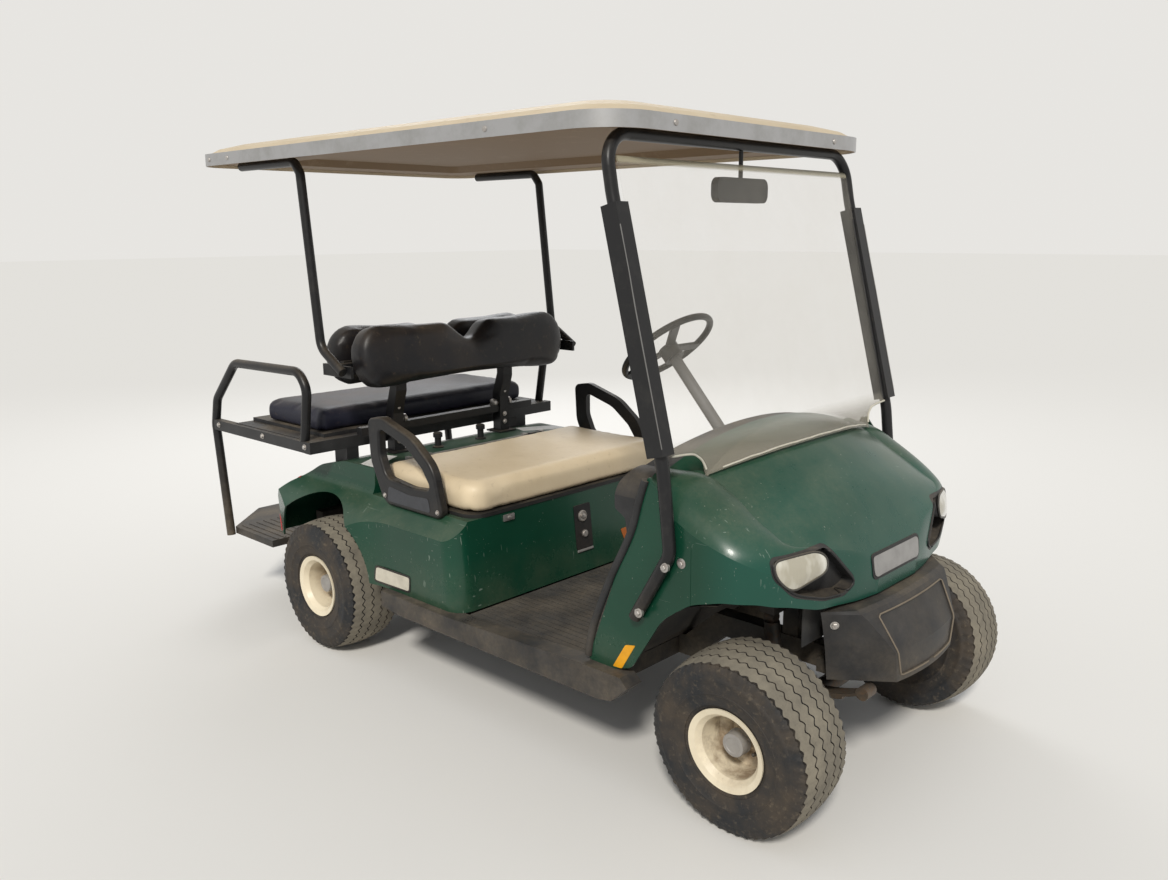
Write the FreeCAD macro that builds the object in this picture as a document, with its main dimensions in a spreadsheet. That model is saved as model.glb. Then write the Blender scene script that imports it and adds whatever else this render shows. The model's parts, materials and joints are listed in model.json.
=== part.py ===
import math
import os
import re

import FreeCAD
import Part
import Sketcher
from FreeCAD import Placement, Rotation, Vector

# A four-seat golf cart: a steel ladder frame on four small wheels, moulded body
# panels, a flat windshield, a moulded roof on tube hoops, and a rear-facing bench
# over a folding load deck. Millimetres. +X is forward, +Y is the driver's side,
# +Z is up. The origin is on the floor, under the middle of the outer box.

doc = FreeCAD.newDocument("GolfCart")

# Driving sizes. Columns: name, value in millimetres or degrees
SIZES = (
    ("wheelbase", 1668),
    ("front_overhang", 246),
    ("rear_overhang", 812),
    ("front_track", 902),
    ("rear_track", 978),
    ("tyre_radius", 225),
    ("tyre_width", 205),
    ("crown_radius", 392),
    ("rim_radius", 104),
    ("rim_width", 184),
    ("camber", 3.5),
    ("hub_bore", 13.08),
    ("spindle_radius", 13),
    ("kingpin_inset", 101),
    ("floor_top", 290),
    ("floor_skin", 6),
    ("mat_skin", 4),
    ("panel_wall", 5),
    ("body_half", 560),
    ("cowl_half", 535),
    ("cowl_top", 905),
    ("roof_half", 600),
    ("roof_band_z", 1638),
    ("roof_band_high", 40),
    ("roof_crown", 62),
    ("roof_lift", 10),
    ("roof_skin", 6),
    ("band_skin", 3),
    ("roof_front", 300),
    ("roof_rear", 585),
    ("hoop_half", 552),
    ("hoop_tube", 16),
    ("strut_tube", 15),
    ("rail_half", 150),
    ("rail_wide", 50),
    ("rail_high", 60),
    ("seat_front", 715),
    ("seat_base_top", 566),
    ("cushion_thick", 88),
    ("shelf_front", 206),
    ("shelf_top", 650),
    ("deck_top", 722),
    ("deck_rear", 537),
    ("rear_cushion_thick", 70),
    ("footplate_top", 300),
    ("footplate_thick", 26),
    ("glass_thick", 5),
    ("steer_radius", 172),
    ("steer_y", 255),
    ("steer_back", 813),
    ("steer_high", 1035),
    ("steer_boss", 46),
    ("king_radius", 9),
    ("hinge_pin", 3),
    ("strut_half", 532),
    ("bumper_half", 234),
    ("column_slope", 48.5),
    ("column_radius", 19),
    ("fit", 0.3),
    ("running", 0.08),
    ("gap", 6),
)

# Places worked out from the sizes. Columns: name, formula
PLACES = (
    ("front_axle", "(wheelbase + rear_overhang - front_overhang) / 2"),
    ("rear_axle", "front_axle - wheelbase"),
    ("front_hub", "(tyre_radius - crown_radius) * cos(camber) + crown_radius"),
    ("front_wheel_y", "front_track / 2"),
    ("kingpin_half", "front_wheel_y - kingpin_inset"),
    ("rear_wheel_y", "rear_track / 2"),
    ("sill_top", "floor_top + 6"),
    ("seat_half", "body_half - 98"),
    ("floor_half", "body_half - 48"),
    ("floor_front", "front_axle - 410"),
    ("seat_x", "rear_axle + seat_front"),
    ("shelf_x", "rear_axle + shelf_front"),
    ("deck_tail", "rear_axle - deck_rear"),
    ("roof_nose", "front_axle - roof_front"),
    ("roof_under", "roof_band_z + roof_lift"),
    ("inner_half", "hoop_half - hoop_tube - fit"),
    ("spring_y", "rail_half + rail_wide / 2 + fit + 22"),
    ("front_rail", "front_hub + 92"),
    ("rear_rail", "tyre_radius + 112"),
    ("lid_pin_x", "shelf_x - 8"),
    ("lid_pin_z", "shelf_top + 8"),
    ("flip_pin_x", "deck_tail - 7"),
    ("flip_pin_z", "deck_top + 6.5"),
    ("roof_tail", "rear_axle - roof_rear"),
)

NODES = []


def fill_sheet():
    """Write the sizes into a spreadsheet and the places into a bound object."""
    sheet = doc.addObject("Spreadsheet::Sheet", "Sizes")
    for row, (name, value) in enumerate(SIZES, 1):
        sheet.set("A%d" % row, name)
        sheet.set("B%d" % row, str(value))
        sheet.setAlias("B%d" % row, name)
    doc.recompute()
    places = doc.addObject("App::FeaturePython", "Places")
    for name, formula in PLACES:
        places.addProperty("App::PropertyFloat", name, "Places")
        places.setExpression(name, bound(formula))
        doc.recompute()
    return sheet, places


def bound(text):
    """Return a formula with each size and place named in full."""
    owners = {name: "Sizes." for name, _ in SIZES}
    owners.update({name: "Places." for name, _ in PLACES})
    return re.sub(r"[a-z_]+", lambda word: owners.get(word[0], "") + word[0], str(text))


sheet, places = fill_sheet()


class At:
    """The sizes and places as plain numbers, for shapes that Part's functions make."""


at = At()
for size_name, _ in SIZES:
    setattr(at, size_name, float(sheet.get(size_name)))
for place_name, _ in PLACES:
    setattr(at, place_name, float(getattr(places, place_name)))


def number(text):
    """Return a formula's value."""
    return float(places.evalExpression(bound(text)))


def keep(obj, label):
    """Name a finished sub-part."""
    obj.Label = label
    NODES.append(obj)
    return obj


# Primitives and booleans

def block(name, x0, x1, y0, y1, z0, z1):
    """A box between two corners, each side a formula."""
    box = doc.addObject("Part::Box", name)
    for side, low, high in (("Length", x0, x1), ("Width", y0, y1), ("Height", z0, z1)):
        box.setExpression(side, bound("(%s) - (%s)" % (high, low)))
    for letter, low in zip("xyz", (x0, y0, z0)):
        box.setExpression("Placement.Base." + letter, bound(low))
    return box


TURNS = {"x": (Vector(0, 1, 0), 90), "y": (Vector(1, 0, 0), -90), "z": (Vector(0, 0, 1), 0)}


def rod(name, radius, length, x, y, z, along):
    """A cylinder from a point along an axis."""
    cylinder = doc.addObject("Part::Cylinder", name)
    cylinder.Placement = Placement(Vector(), Rotation(*TURNS[along]))
    cylinder.setExpression("Radius", bound(radius))
    cylinder.setExpression("Height", bound(length))
    for letter, text in zip("xyz", (x, y, z)):
        cylinder.setExpression("Placement.Base." + letter, bound(text))
    return cylinder


def fused(name, pieces):
    fuse = doc.addObject("Part::MultiFuse", name)
    fuse.Shapes = pieces
    return fuse


def less(name, base, tool):
    cut = doc.addObject("Part::Cut", name)
    cut.Base = base
    cut.Tool = tool
    return cut


def mirrored(name, source):
    """The same piece on the other side of the cart."""
    mirror = doc.addObject("Part::Mirroring", name)
    mirror.Source = source
    mirror.Normal = Vector(0, 1, 0)
    return mirror


# Bodies from sketches

def origin_plane(body, role):
    return next(plane for plane in body.Origin.OriginFeatures if plane.Role == role)


def outline(body, plane, corners, offset="0"):
    """A closed sketch on an origin plane.

    A corner is (x, y) or (x, y, radius): with a radius, the edge to the next corner
    is an arc, which bulges to the right of its chord, or to the left if negative.
    """
    sketch = body.newObject("Sketcher::SketchObject", body.Name + "Sketch")
    sketch.AttachmentSupport = (origin_plane(body, plane), [""])
    sketch.MapMode = "FlatFace"
    sketch.setExpression("AttachmentOffset.Base.z", bound(offset))
    points = [Vector(number(corner[0]), number(corner[1]), 0) for corner in corners]
    ends = []
    for index, start in enumerate(points):
        end = points[(index + 1) % len(points)]
        if len(corners[index]) == 2:
            sketch.addGeometry(Part.LineSegment(start, end), False)
            ends.append((1, 2))
            continue
        radius = number(corners[index][2])
        chord = end - start
        side = Vector(chord.y, -chord.x, 0).normalize() * math.copysign(1, radius)
        rise = abs(radius) - math.sqrt(radius ** 2 - (chord.Length / 2) ** 2)
        middle = (start + end) * 0.5 + side * rise
        if radius > 0:
            sketch.addGeometry(Part.ArcOfCircle(start, middle, end), False)
            ends.append((1, 2))
        else:
            sketch.addGeometry(Part.ArcOfCircle(end, middle, start), False)
            ends.append((2, 1))
    for index, corner in enumerate(corners):
        before = index - 1 if index else len(corners) - 1
        join = Sketcher.Constraint("Coincident", before, ends[before][1], index, ends[index][0])
        sketch.addConstraint(join)
        for letter, kind, text in (("h", "DistanceX", corner[0]), ("v", "DistanceY", corner[1])):
            value = points[index].x if letter == "h" else points[index].y
            rule = Sketcher.Constraint(kind, -1, 1, index, ends[index][0], value)
            spot = sketch.addConstraint(rule)
            sketch.renameConstraint(spot, "%s%d" % (letter, index))
            sketch.setExpression("Constraints.%s%d" % (letter, index), bound(text))
        if len(corner) == 3:
            rule = Sketcher.Constraint("Radius", index, abs(number(corner[2])))
            spot = sketch.addConstraint(rule)
            sketch.renameConstraint(spot, "r%d" % index)
            sketch.setExpression("Constraints.r%d" % index, bound("abs(%s)" % corner[2]))
    return sketch


def padded(name, plane, corners, start, depth):
    """A body: an outline on a plane, padded from start by depth along the plane's normal.

    The normal is +Z on XY_Plane, -Y on XZ_Plane and +X on YZ_Plane.
    """
    body = doc.addObject("PartDesign::Body", name)
    sketch = outline(body, plane, corners, start)
    pad = body.newObject("PartDesign::Pad", name + "Pad")
    pad.Profile = (sketch, [""])
    pad.setExpression("Length", bound(depth))
    return body


def turned(name, corners):
    """A body: an outline of radius and width, turned about the cart's cross axis."""
    body = doc.addObject("PartDesign::Body", name)
    sketch = outline(body, "XY_Plane", corners)
    spin = body.newObject("PartDesign::Revolution", name + "Turn")
    spin.Profile = (sketch, [""])
    spin.ReferenceAxis = (sketch, ["V_Axis"])
    spin.Angle = 360
    return body


# Shapes that need a path in space or sections of their own

def feature(name, shape):
    part = doc.addObject("Part::Feature", name)
    part.Shape = shape
    return part


def bent_path(points, bend, closed=False):
    """Straight runs joined by tangent arcs: a wire."""
    count = len(points)
    corners = range(count) if closed else range(1, count - 1)
    cuts = {}
    for index in corners:
        here = points[index]
        back = (points[index - 1] - here).normalize()
        ahead = (points[(index + 1) % count] - here).normalize()
        half = back.getAngle(ahead) / 2
        radius = bend[index] if isinstance(bend, (list, tuple)) else bend
        reach = radius / math.tan(half)
        middle = here + (back + ahead).normalize() * (radius / math.sin(half) - radius)
        cuts[index] = (here + back * reach, middle, here + ahead * reach)
    edges = []
    for index in range(count if closed else count - 1):
        after = (index + 1) % count
        start = cuts[index][2] if index in cuts else points[index]
        end = cuts[after][0] if after in cuts else points[after]
        if start.distanceToPoint(end) > 1e-4:
            edges.append(Part.LineSegment(start, end).toShape())
        if after in cuts:
            edges.append(Part.Arc(*cuts[after]).toShape())
    return Part.Wire(edges)


def tube_shape(points, radius, bend, closed=False):
    """A round bar along a bent path."""
    path = bent_path(points, bend, closed)
    first = path.OrderedEdges[0]
    start = first.valueAt(first.FirstParameter)
    heading = first.tangentAt(first.FirstParameter)
    ring = Part.Wire(Part.makeCircle(radius, start, heading))
    return path.makePipeShell([ring], True, False)


def sided(points, side):
    """Points of the driver's side, or of the other side when side is -1."""
    return [Vector(x, y * side, z) for x, y, z in points]


def rounded_face(points, radii, level):
    """A level face with rounded corners."""
    vectors = [Vector(x, y, level) for x, y in points]
    return Part.Face(bent_path(vectors, radii, closed=True))


# Wheels

def wheel(name, x, y, z, lean, side):
    """A tyre and its deep-dished steel rim with hub, the outer face towards side."""
    half = "tyre_width / 2"
    tyre = turned("Tyre" + name, (
        ("rim_radius - 9", "-%s + 26" % half),
        ("rim_radius + 2", "-%s + 16" % half, "88"),
        ("tyre_radius - 48", "-%s" % half, "62"),
        ("tyre_radius - 10", "-%s + 15" % half, "crown_radius"),
        ("tyre_radius - 10", "%s - 15" % half, "62"),
        ("tyre_radius - 48", half, "88"),
        ("rim_radius + 2", "%s - 16" % half),
        ("rim_radius - 9", "%s - 26" % half),
    ))
    lip = "rim_width / 2"
    rim = turned("Rim" + name, (
        ("hub_bore", "-60"),
        ("34", "-60"),
        ("34", "-34"),
        ("rim_radius - 36", "-34"),
        ("rim_radius - 26", "-%s + 16" % lip),
        ("rim_radius - 14", "-%s + 5" % lip),
        ("rim_radius + 1", "-%s" % lip),
        ("rim_radius + 1", "-%s + 5" % lip),
        ("rim_radius - 9.3", "-%s + 9" % lip),
        ("rim_radius - 9.3", "-%s + 28" % lip),
        ("rim_radius - 20", "-%s + 42" % lip),
        ("rim_radius - 20", "%s - 42" % lip),
        ("rim_radius - 9.3", "%s - 28" % lip),
        ("rim_radius - 9.3", "%s - 9" % lip),
        ("rim_radius + 1", "%s - 5" % lip),
        ("rim_radius + 1", lip),
        ("rim_radius - 14", "%s - 5" % lip),
        ("rim_radius - 25", "%s - 20" % lip),
        ("rim_radius - 26", "0", "34"),
        ("52", "-20"),
        ("30", "-8"),
        ("28", "28"),
        ("0", "32"),
        ("0", "16"),
        ("hub_bore", "16"),
    ))
    for body in (tyre, rim):
        turn = Rotation(Vector(0, 0, 1), 0 if side > 0 else 180)
        tilt = Rotation(Vector(1, 0, 0), -side * number(lean))
        body.Placement = Placement(Vector(number(x), number(y), number(z)), tilt * turn)
    keep(tyre, "tyre_" + name)
    keep(rim, "rim_" + name)


def make_wheels():
    for side, word in ((-1, "right"), (1, "left")):
        sign = "" if side > 0 else "-"
        wheel("front_" + word, "front_axle", sign + "front_wheel_y", "front_hub", "camber", side)
        wheel("rear_" + word, "rear_axle", sign + "rear_wheel_y", "tyre_radius", "0", side)


# Running gear

def make_knuckle():
    """The upright on its kingpin, with the spindle that the front wheel turns on."""
    pin = rod("KnuckleBarrel", "21", "96", "front_axle", "kingpin_half", "front_hub - 48", "z")
    spindle = doc.addObject("Part::Cylinder", "KnuckleSpindle")
    spindle.setExpression("Radius", bound("spindle_radius"))
    spindle.setExpression("Height", bound("front_wheel_y - kingpin_half + 10"))
    lean = Rotation(Vector(1, 0, 0), -90 - at.camber)
    rise = (at.front_wheel_y - at.kingpin_half) * math.tan(math.radians(at.camber))
    spindle.Placement = Placement(Vector(at.front_axle, at.kingpin_half, at.front_hub + rise), lean)
    arm = block("KnuckleArm", "front_axle - 118", "front_axle", "kingpin_half - 26",
                "kingpin_half - 12", "front_hub - 46", "front_hub - 30")
    solid = fused("KnuckleSolid", [pin, spindle, arm])
    bore = rod("KnuckleBore", "king_radius + running", "120", "front_axle", "kingpin_half",
               "front_hub - 60", "z")
    left = keep(less("KnuckleLeft", solid, bore), "knuckle_left")
    keep(mirrored("KnuckleRight", left), "knuckle_right")


def make_front_axle():
    """A tube axle with forked ends that hold the kingpins."""
    beam = rod("AxleBeam", "24", "2 * (kingpin_half - 62)", "front_axle", "62 - kingpin_half",
               "front_hub", "y")
    pieces = [beam]
    for sign, word in (("", "L"), ("-", "R")):
        web = "%s(kingpin_half - 62)" % sign
        pieces.append(block("AxleWeb" + word, "front_axle - 20", "front_axle + 20",
                            web + " - 12", web + " + 12", "front_hub - 60", "front_hub + 60"))
        for top, level in (("T", "front_hub + 50"), ("B", "front_hub - 60")):
            fork = "%s(kingpin_half - 27)" % sign
            pieces.append(block("AxleFork" + word + top, "front_axle - 20", "front_axle + 20",
                                fork + " - 47", fork + " + 47", level, level + " + 10"))
        pieces.append(rod("AxlePin" + word, "king_radius", "116", "front_axle",
                          sign + "kingpin_half", "front_hub - 58", "z"))
    keep(fused("FrontAxle", pieces), "front_axle")


def leaf_spring(x, centre_z, half_length, y, seat):
    """A stack of three bowed leaves with an eye at each end."""
    leaves = []
    for layer, share in ((0, 1.0), (1, 0.74), (2, 0.48)):
        reach = half_length * share
        drop = 34 * share * share
        low = centre_z + layer * -7
        top = Part.Arc(Vector(x - reach, 0, low + drop), Vector(x, 0, low),
                       Vector(x + reach, 0, low + drop)).toShape()
        face = Part.Face(Part.Wire([
            top,
            Part.LineSegment(Vector(x + reach, 0, low + drop),
                             Vector(x + reach, 0, low + drop - 7)).toShape(),
            Part.Arc(Vector(x + reach, 0, low + drop - 7), Vector(x, 0, low - 7),
                     Vector(x - reach, 0, low + drop - 7)).toShape(),
            Part.LineSegment(Vector(x - reach, 0, low + drop - 7),
                             Vector(x - reach, 0, low + drop)).toShape(),
        ]))
        leaves.append(face.extrude(Vector(0, 44, 0)))
    spring = leaves[0].fuse(leaves[1:])
    for sign in (-1, 1):
        eye = Part.makeCylinder(17, 44, Vector(x + sign * (half_length + 8), 0, centre_z + 34),
                                Vector(0, 1, 0))
        spring = spring.fuse(eye)
    if seat:
        spring = spring.fuse(Part.makeBox(70, 44, seat, Vector(x - 35, 0, centre_z)))
    spring.translate(Vector(0, y - 22, 0))
    other = spring.mirror(Vector(), Vector(0, 1, 0))
    return [spring, other]


def shock(foot, head):
    """A pair of dampers: a slim rod in a fat body, an eye at each end."""
    pair = []
    for side in (1, -1):
        low, high = sided([foot, head], side)
        way = high - low
        middle = low + way * 0.45
        body = Part.makeCylinder(20, way.Length * 0.5, middle, way)
        thin = Part.makeCylinder(9, way.Length, low, way)
        ends = [Part.makeCylinder(15, 28, spot - Vector(14, 0, 0), Vector(1, 0, 0))
                for spot in (low, high)]
        pair.append(body.fuse([thin] + ends))
    return pair


def make_suspension():
    """Four leaf springs and four dampers."""
    springs = leaf_spring(at.front_axle, at.front_hub + 45 + at.fit, 165, at.spring_y, 0)
    springs += leaf_spring(at.rear_axle, at.tyre_radius - 42, 270, 300, 7.7)
    keep(feature("LeafSprings", Part.makeCompound(springs)), "leaf_springs")
    y = at.kingpin_half - 88
    dampers = shock((at.front_axle - 39.3, y, at.front_hub), (at.front_axle - 60, y, 454.7))
    dampers += shock((at.rear_axle + 48.3, 346, at.tyre_radius),
                     (at.rear_axle + 70, 346, at.rear_rail + at.rail_high - 35.3))
    keep(feature("Dampers", Part.makeCompound(dampers)), "dampers")


def make_rear_axle():
    """The rear axle tube, its gear case, drums and stubs, and the motor on the case."""
    tube = rod("AxleTube", "34", "2 * (rear_wheel_y - 66)", "rear_axle", "66 - rear_wheel_y",
               "tyre_radius", "y")
    pieces = [tube]
    case = doc.addObject("Part::Sphere", "AxleCase")
    case.Radius = 92
    for letter, text in zip("xyz", ("rear_axle", "-60", "tyre_radius")):
        case.setExpression("Placement.Base." + letter, bound(text))
    pieces.append(case)
    pieces.append(block("GearCase", "rear_axle", "rear_axle + 210", "-92", "-34",
                        "tyre_radius - 60", "tyre_radius + 84"))
    for sign, word in (("", "L"), ("-", "R")):
        drum_y = "rear_wheel_y - 100" if not sign else "62 - rear_wheel_y"
        pieces.append(rod("BrakeDrum" + word, "rim_radius - 38", "38", "rear_axle", drum_y,
                          "tyre_radius", "y"))
        stub_y = "rear_wheel_y - 70" if not sign else "-rear_wheel_y - 10"
        pieces.append(rod("AxleStub" + word, "spindle_radius", "80", "rear_axle", stub_y,
                          "tyre_radius", "y"))
    pieces.append(rod("Motor", "88", "212", "rear_axle + 134", "-40", "tyre_radius + 12", "y"))
    keep(fused("RearAxle", pieces), "rear_axle")


def make_running_gear():
    make_knuckle()
    make_front_axle()
    make_rear_axle()


# Frame and floor

def make_frame():
    """Two boxed rails that step up over each axle, their crossmembers and shock towers."""
    low = "floor_top - floor_skin - fit - rail_high"
    high = "floor_top - floor_skin - fit"
    rail = padded("FrameRail", "XZ_Plane", (
        ("rear_axle - 300", "rear_rail"),
        ("rear_axle - 300", "rear_rail + rail_high"),
        ("rear_axle + 250", "rear_rail + rail_high"),
        ("rear_axle + 330", high),
        ("front_axle - 396", high),
        ("front_axle - 292", "front_rail + rail_high"),
        ("front_axle + 96", "front_rail + rail_high"),
        ("front_axle + 96", "front_rail"),
        ("front_axle - 262", "front_rail"),
        ("front_axle - 366", low),
        ("rear_axle + 300", low),
        ("rear_axle + 220", "rear_rail"),
    ), "-rail_half - rail_wide / 2", "rail_wide")
    pieces = [rail, mirrored("FrameRailOther", rail)]
    spans = (
        # name, x, half length, bottom, height
        ("Tip", "front_axle + 74", "bumper_half - panel_wall - fit", "front_rail + 14", "34"),
        ("Nose", "front_axle - 60", "286", "470", "30"),
        ("Toe", "front_axle - 440", "floor_half - 10", low, "50"),
        ("Mid", "(front_axle + rear_axle) / 2", "floor_half - 10", low, "50"),
        ("Seat", "seat_x - 30", "floor_half - 10", low, "50"),
        ("Shock", "rear_axle + 70", "372", "rear_rail + rail_high - 20", "44"),
        ("Hang", "rear_axle + 278", "340", "tyre_radius + 37", "38"),
        ("Tail", "rear_axle - 296", "372", "rear_rail + 4", "50"),
    )
    for name, x, half, bottom, tall in spans:
        pieces.append(block("Cross" + name, x + " - 22", x + " + 22", "-(%s)" % half, half,
                            bottom, bottom + " + " + tall))
    for sign, word in (("", "L"), ("-", "R")):
        y = sign + "rail_half"
        pieces.append(block("Tower" + word, "front_axle - 82", "front_axle - 38",
                            y + " - 22", y + " + 22", "front_rail + 10", "474"))
        y = sign + "300"
        pieces.append(block("HangerFront" + word, "rear_axle + 266", "rear_axle + 290",
                            y + " - 18", y + " + 18", "tyre_radius + 9.3", "tyre_radius + 40"))
        pieces.append(block("HangerRear" + word, "rear_axle - 290", "rear_axle - 266",
                            y + " - 18", y + " + 18", "tyre_radius + 9.3", "rear_rail + 10"))
        y = sign + "240"
        pieces.append(block("Drop" + word, "rear_axle - 318", "rear_axle - 278", y + " - 20",
                            y + " + 20", "footplate_top - footplate_thick - 36",
                            "rear_rail + 10"))
        pieces.append(block("FootArm" + word, "rear_axle - 700", "rear_axle - 278", y + " - 20",
                            y + " + 20", "footplate_top - footplate_thick - fit - 36",
                            "footplate_top - footplate_thick - fit"))
    keep(fused("Frame", pieces), "chassis_frame")


def make_floor():
    pan = padded("FloorPan", "XZ_Plane", (
        ("seat_x + fit", "floor_top - floor_skin"),
        ("seat_x + fit", "floor_top"),
        ("floor_front", "floor_top"),
        ("front_axle - 322", "floor_top + 170"),
        ("front_axle - 288", "floor_top + 300"),
        ("front_axle - 282", "floor_top + 298"),
        ("front_axle - 316", "floor_top + 168"),
        ("floor_front + 4", "floor_top - floor_skin"),
    ), "-floor_half", "2 * floor_half")
    keep(pan, "floor_pan")
    mat = padded("FloorMat", "XZ_Plane", (
        ("seat_x + gap", "floor_top + fit"),
        ("seat_x + gap", "floor_top + fit + mat_skin"),
        ("floor_front - 8", "floor_top + fit + mat_skin"),
        ("floor_front - 6", "floor_top + fit"),
    ), "-floor_half + gap", "2 * (floor_half - gap)")
    keep(mat, "floor_mat")
    sill = padded("Sill", "XZ_Plane", (
        ("rear_axle + 363", "248"),
        ("rear_axle + 363", "sill_top"),
        ("seat_x", "sill_top"),
        ("front_axle - 440", "sill_top + 22"),
        ("front_axle - 300", "sill_top + 22"),
        ("front_axle - 276", "sill_top"),
        ("front_axle - 330", "246"),
        ("front_axle - 380", "237"),
        ("rear_axle + 440", "237"),
    ), "-body_half - 10", "body_half + 10 - floor_half - fit")
    other = mirrored("SillOther", sill)
    doc.recompute()
    keep(feature("Sills", Part.makeCompound([sill.Shape, other.Shape])), "sills")


# Levels of the bumper. Columns: height, corner's distance behind the bumper's face,
# half width at the front corner and at the back, each less the bumper's half width
BUMPER = (
    (332, 16, -80, 21),
    (411, 16, -67, 34),
    (496, 67, -15, 56),
    (511, 79, -3, 62),
    (518, 92, 0, 64),
)


def bumper_loft(wall):
    """The bumper's form: a bowed face that leans back above its chin, and flared sides."""
    nose = at.front_axle
    rear = nose + 96 + at.fit - wall
    wires = []
    for level, behind, front_half, rear_half in BUMPER:
        z = level
        if wall:
            z -= wall if level != BUMPER[0][0] else 4 * wall
        x = nose + at.front_overhang - behind - wall
        y = at.bumper_half + front_half - wall
        back = at.bumper_half + rear_half - wall
        bow = Vector(x + 16, 0, z)
        wires.append(Part.Wire([
            Part.LineSegment(Vector(rear, -back, z), Vector(x, -y, z)).toShape(),
            Part.Arc(Vector(x, -y, z), bow, Vector(x, y, z)).toShape(),
            Part.LineSegment(Vector(x, y, z), Vector(rear, back, z)).toShape(),
            Part.LineSegment(Vector(rear, back, z), Vector(rear, -back, z)).toShape(),
        ]))
    return Part.makeLoft(wires, True, True)


def make_bumper():
    """A moulded bumper, open behind and below, with a sunk middle panel and a back web."""
    nose = at.front_axle
    outer = bumper_loft(0)
    shell = outer.cut(bumper_loft(at.panel_wall + 1))
    web_half = at.bumper_half + 80
    web = Part.makeBox(6, 2 * web_half, 84, Vector(nose + 96 + at.fit, -web_half, 336))
    shell = shell.fuse(web.common(outer))
    edge = [(-58, 496), (-76, 411), (-94, 348)]
    half = at.bumper_half
    right = [Vector(nose + 120, -half - y, z) for y, z in edge]
    left = [Vector(nose + 120, half + y, z) for y, z in reversed(edge)]
    panel = Part.Face(bent_path(right + left, 6, True)).extrude(Vector(200, 0, 0))
    sunk = outer.common(panel).cut(outer.translated(Vector(-3.5, 0, 0)))
    keep(feature("Bumper", shell.cut(sunk)), "front_bumper")


# Front body

# Sections of the cowl. Columns: distance ahead of the front axle, half width,
# top of the side wall, half width and height where the crown starts, crown height
COWL = (
    (-262, 0, 780, 430, 838, 0),
    (-176, 0, 752, 392, 827, 6),
    (-100, 2, 716, 386, 790, 39),
    (-20, 16, 684, 396, 740, 95),
    (56, 74, 645, 388, 698, 161),
    (98, 180, 612, 280, 676, 222),
    (126, 320, 580, 150, 636, 268),
    (143, 430, 545, 76, 575, 322),
)


def cowl_section(x, half, side_top, crown_half, crown_low, crown_top, bottom):
    """One closed cross section of the cowl: floor, sides, corner arcs and crown."""
    def spot(y, z):
        return Vector(x, y, z)

    bend = Vector(0, (half * 0.72 + crown_half * 0.28), (side_top * 0.30 + crown_low * 0.70))
    edges = [
        Part.LineSegment(spot(-half, bottom), spot(half, bottom)).toShape(),
        Part.LineSegment(spot(half, bottom), spot(half, side_top)).toShape(),
        Part.Arc(spot(half, side_top), spot(bend.y, bend.z), spot(crown_half, crown_low)).toShape(),
        Part.Arc(spot(crown_half, crown_low), spot(0, crown_top), spot(-crown_half, crown_low)).toShape(),
        Part.Arc(spot(-crown_half, crown_low), spot(-bend.y, bend.z), spot(-half, side_top)).toShape(),
        Part.LineSegment(spot(-half, side_top), spot(-half, bottom)).toShape(),
    ]
    return Part.Wire(edges)


def eased(rows, x):
    """A row of the table at x, on a curve that stays between its neighbours."""
    steps = [(b[0] - a[0]) for a, b in zip(rows, rows[1:])]
    index = 0
    while index < len(steps) - 1 and x > rows[index + 1][0]:
        index += 1
    share = (x - rows[index][0]) / steps[index]
    result = []
    for column in range(1, len(rows[0])):
        slopes = [(b[column] - a[column]) / step for a, b, step in zip(rows, rows[1:], steps)]
        tangents = [slopes[0]]
        for before, after in zip(slopes, slopes[1:]):
            same = before * after > 0
            tangents.append(2 * before * after / (before + after) if same else 0)
        tangents.append(slopes[-1])
        low, high = rows[index][column], rows[index + 1][column]
        pull_low = tangents[index] * steps[index]
        pull_high = tangents[index + 1] * steps[index]
        result.append(low + pull_low * share
                      + (3 * (high - low) - 2 * pull_low - pull_high) * share ** 2
                      + (pull_low + pull_high - 2 * (high - low)) * share ** 3)
    return result


def cowl_loft(wall, bottom):
    """The cowl's closed form, or one a wall's thickness inside it."""
    stations = (-262, -219, -176, -138, -100, -60, -20, 18, 56, 78, 98, 113, 126, 136, 143)
    sections = []
    for ahead in stations:
        narrow, side_top, crown_half, crown_low, drop = eased(COWL, ahead)
        x = at.front_axle + ahead
        if ahead == stations[-1]:
            x -= wall
        if ahead == stations[0] and wall:
            x -= 10
        sections.append(cowl_section(x, at.cowl_half - narrow - wall, side_top - wall,
                                     crown_half - wall, crown_low - wall,
                                     at.cowl_top - drop - wall, bottom))
    return Part.makeLoft(sections, True, False)


def lamp_prism(corners, depth0, depth1):
    """A right-hand lamp shape of (across, up, bend), swept along the way that it faces."""
    ahead = Rotation(Vector(0, 0, 1), -20)
    path = bent_path([Vector(depth0, -across, up) for across, up, bend in corners],
                     [bend for across, up, bend in corners], True)
    prism = Part.Face(path).extrude(Vector(depth1 - depth0, 0, 0))
    prism.Placement = Placement(Vector(at.front_axle + 92, 205 - at.cowl_half, 632), ahead)
    return prism


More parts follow.
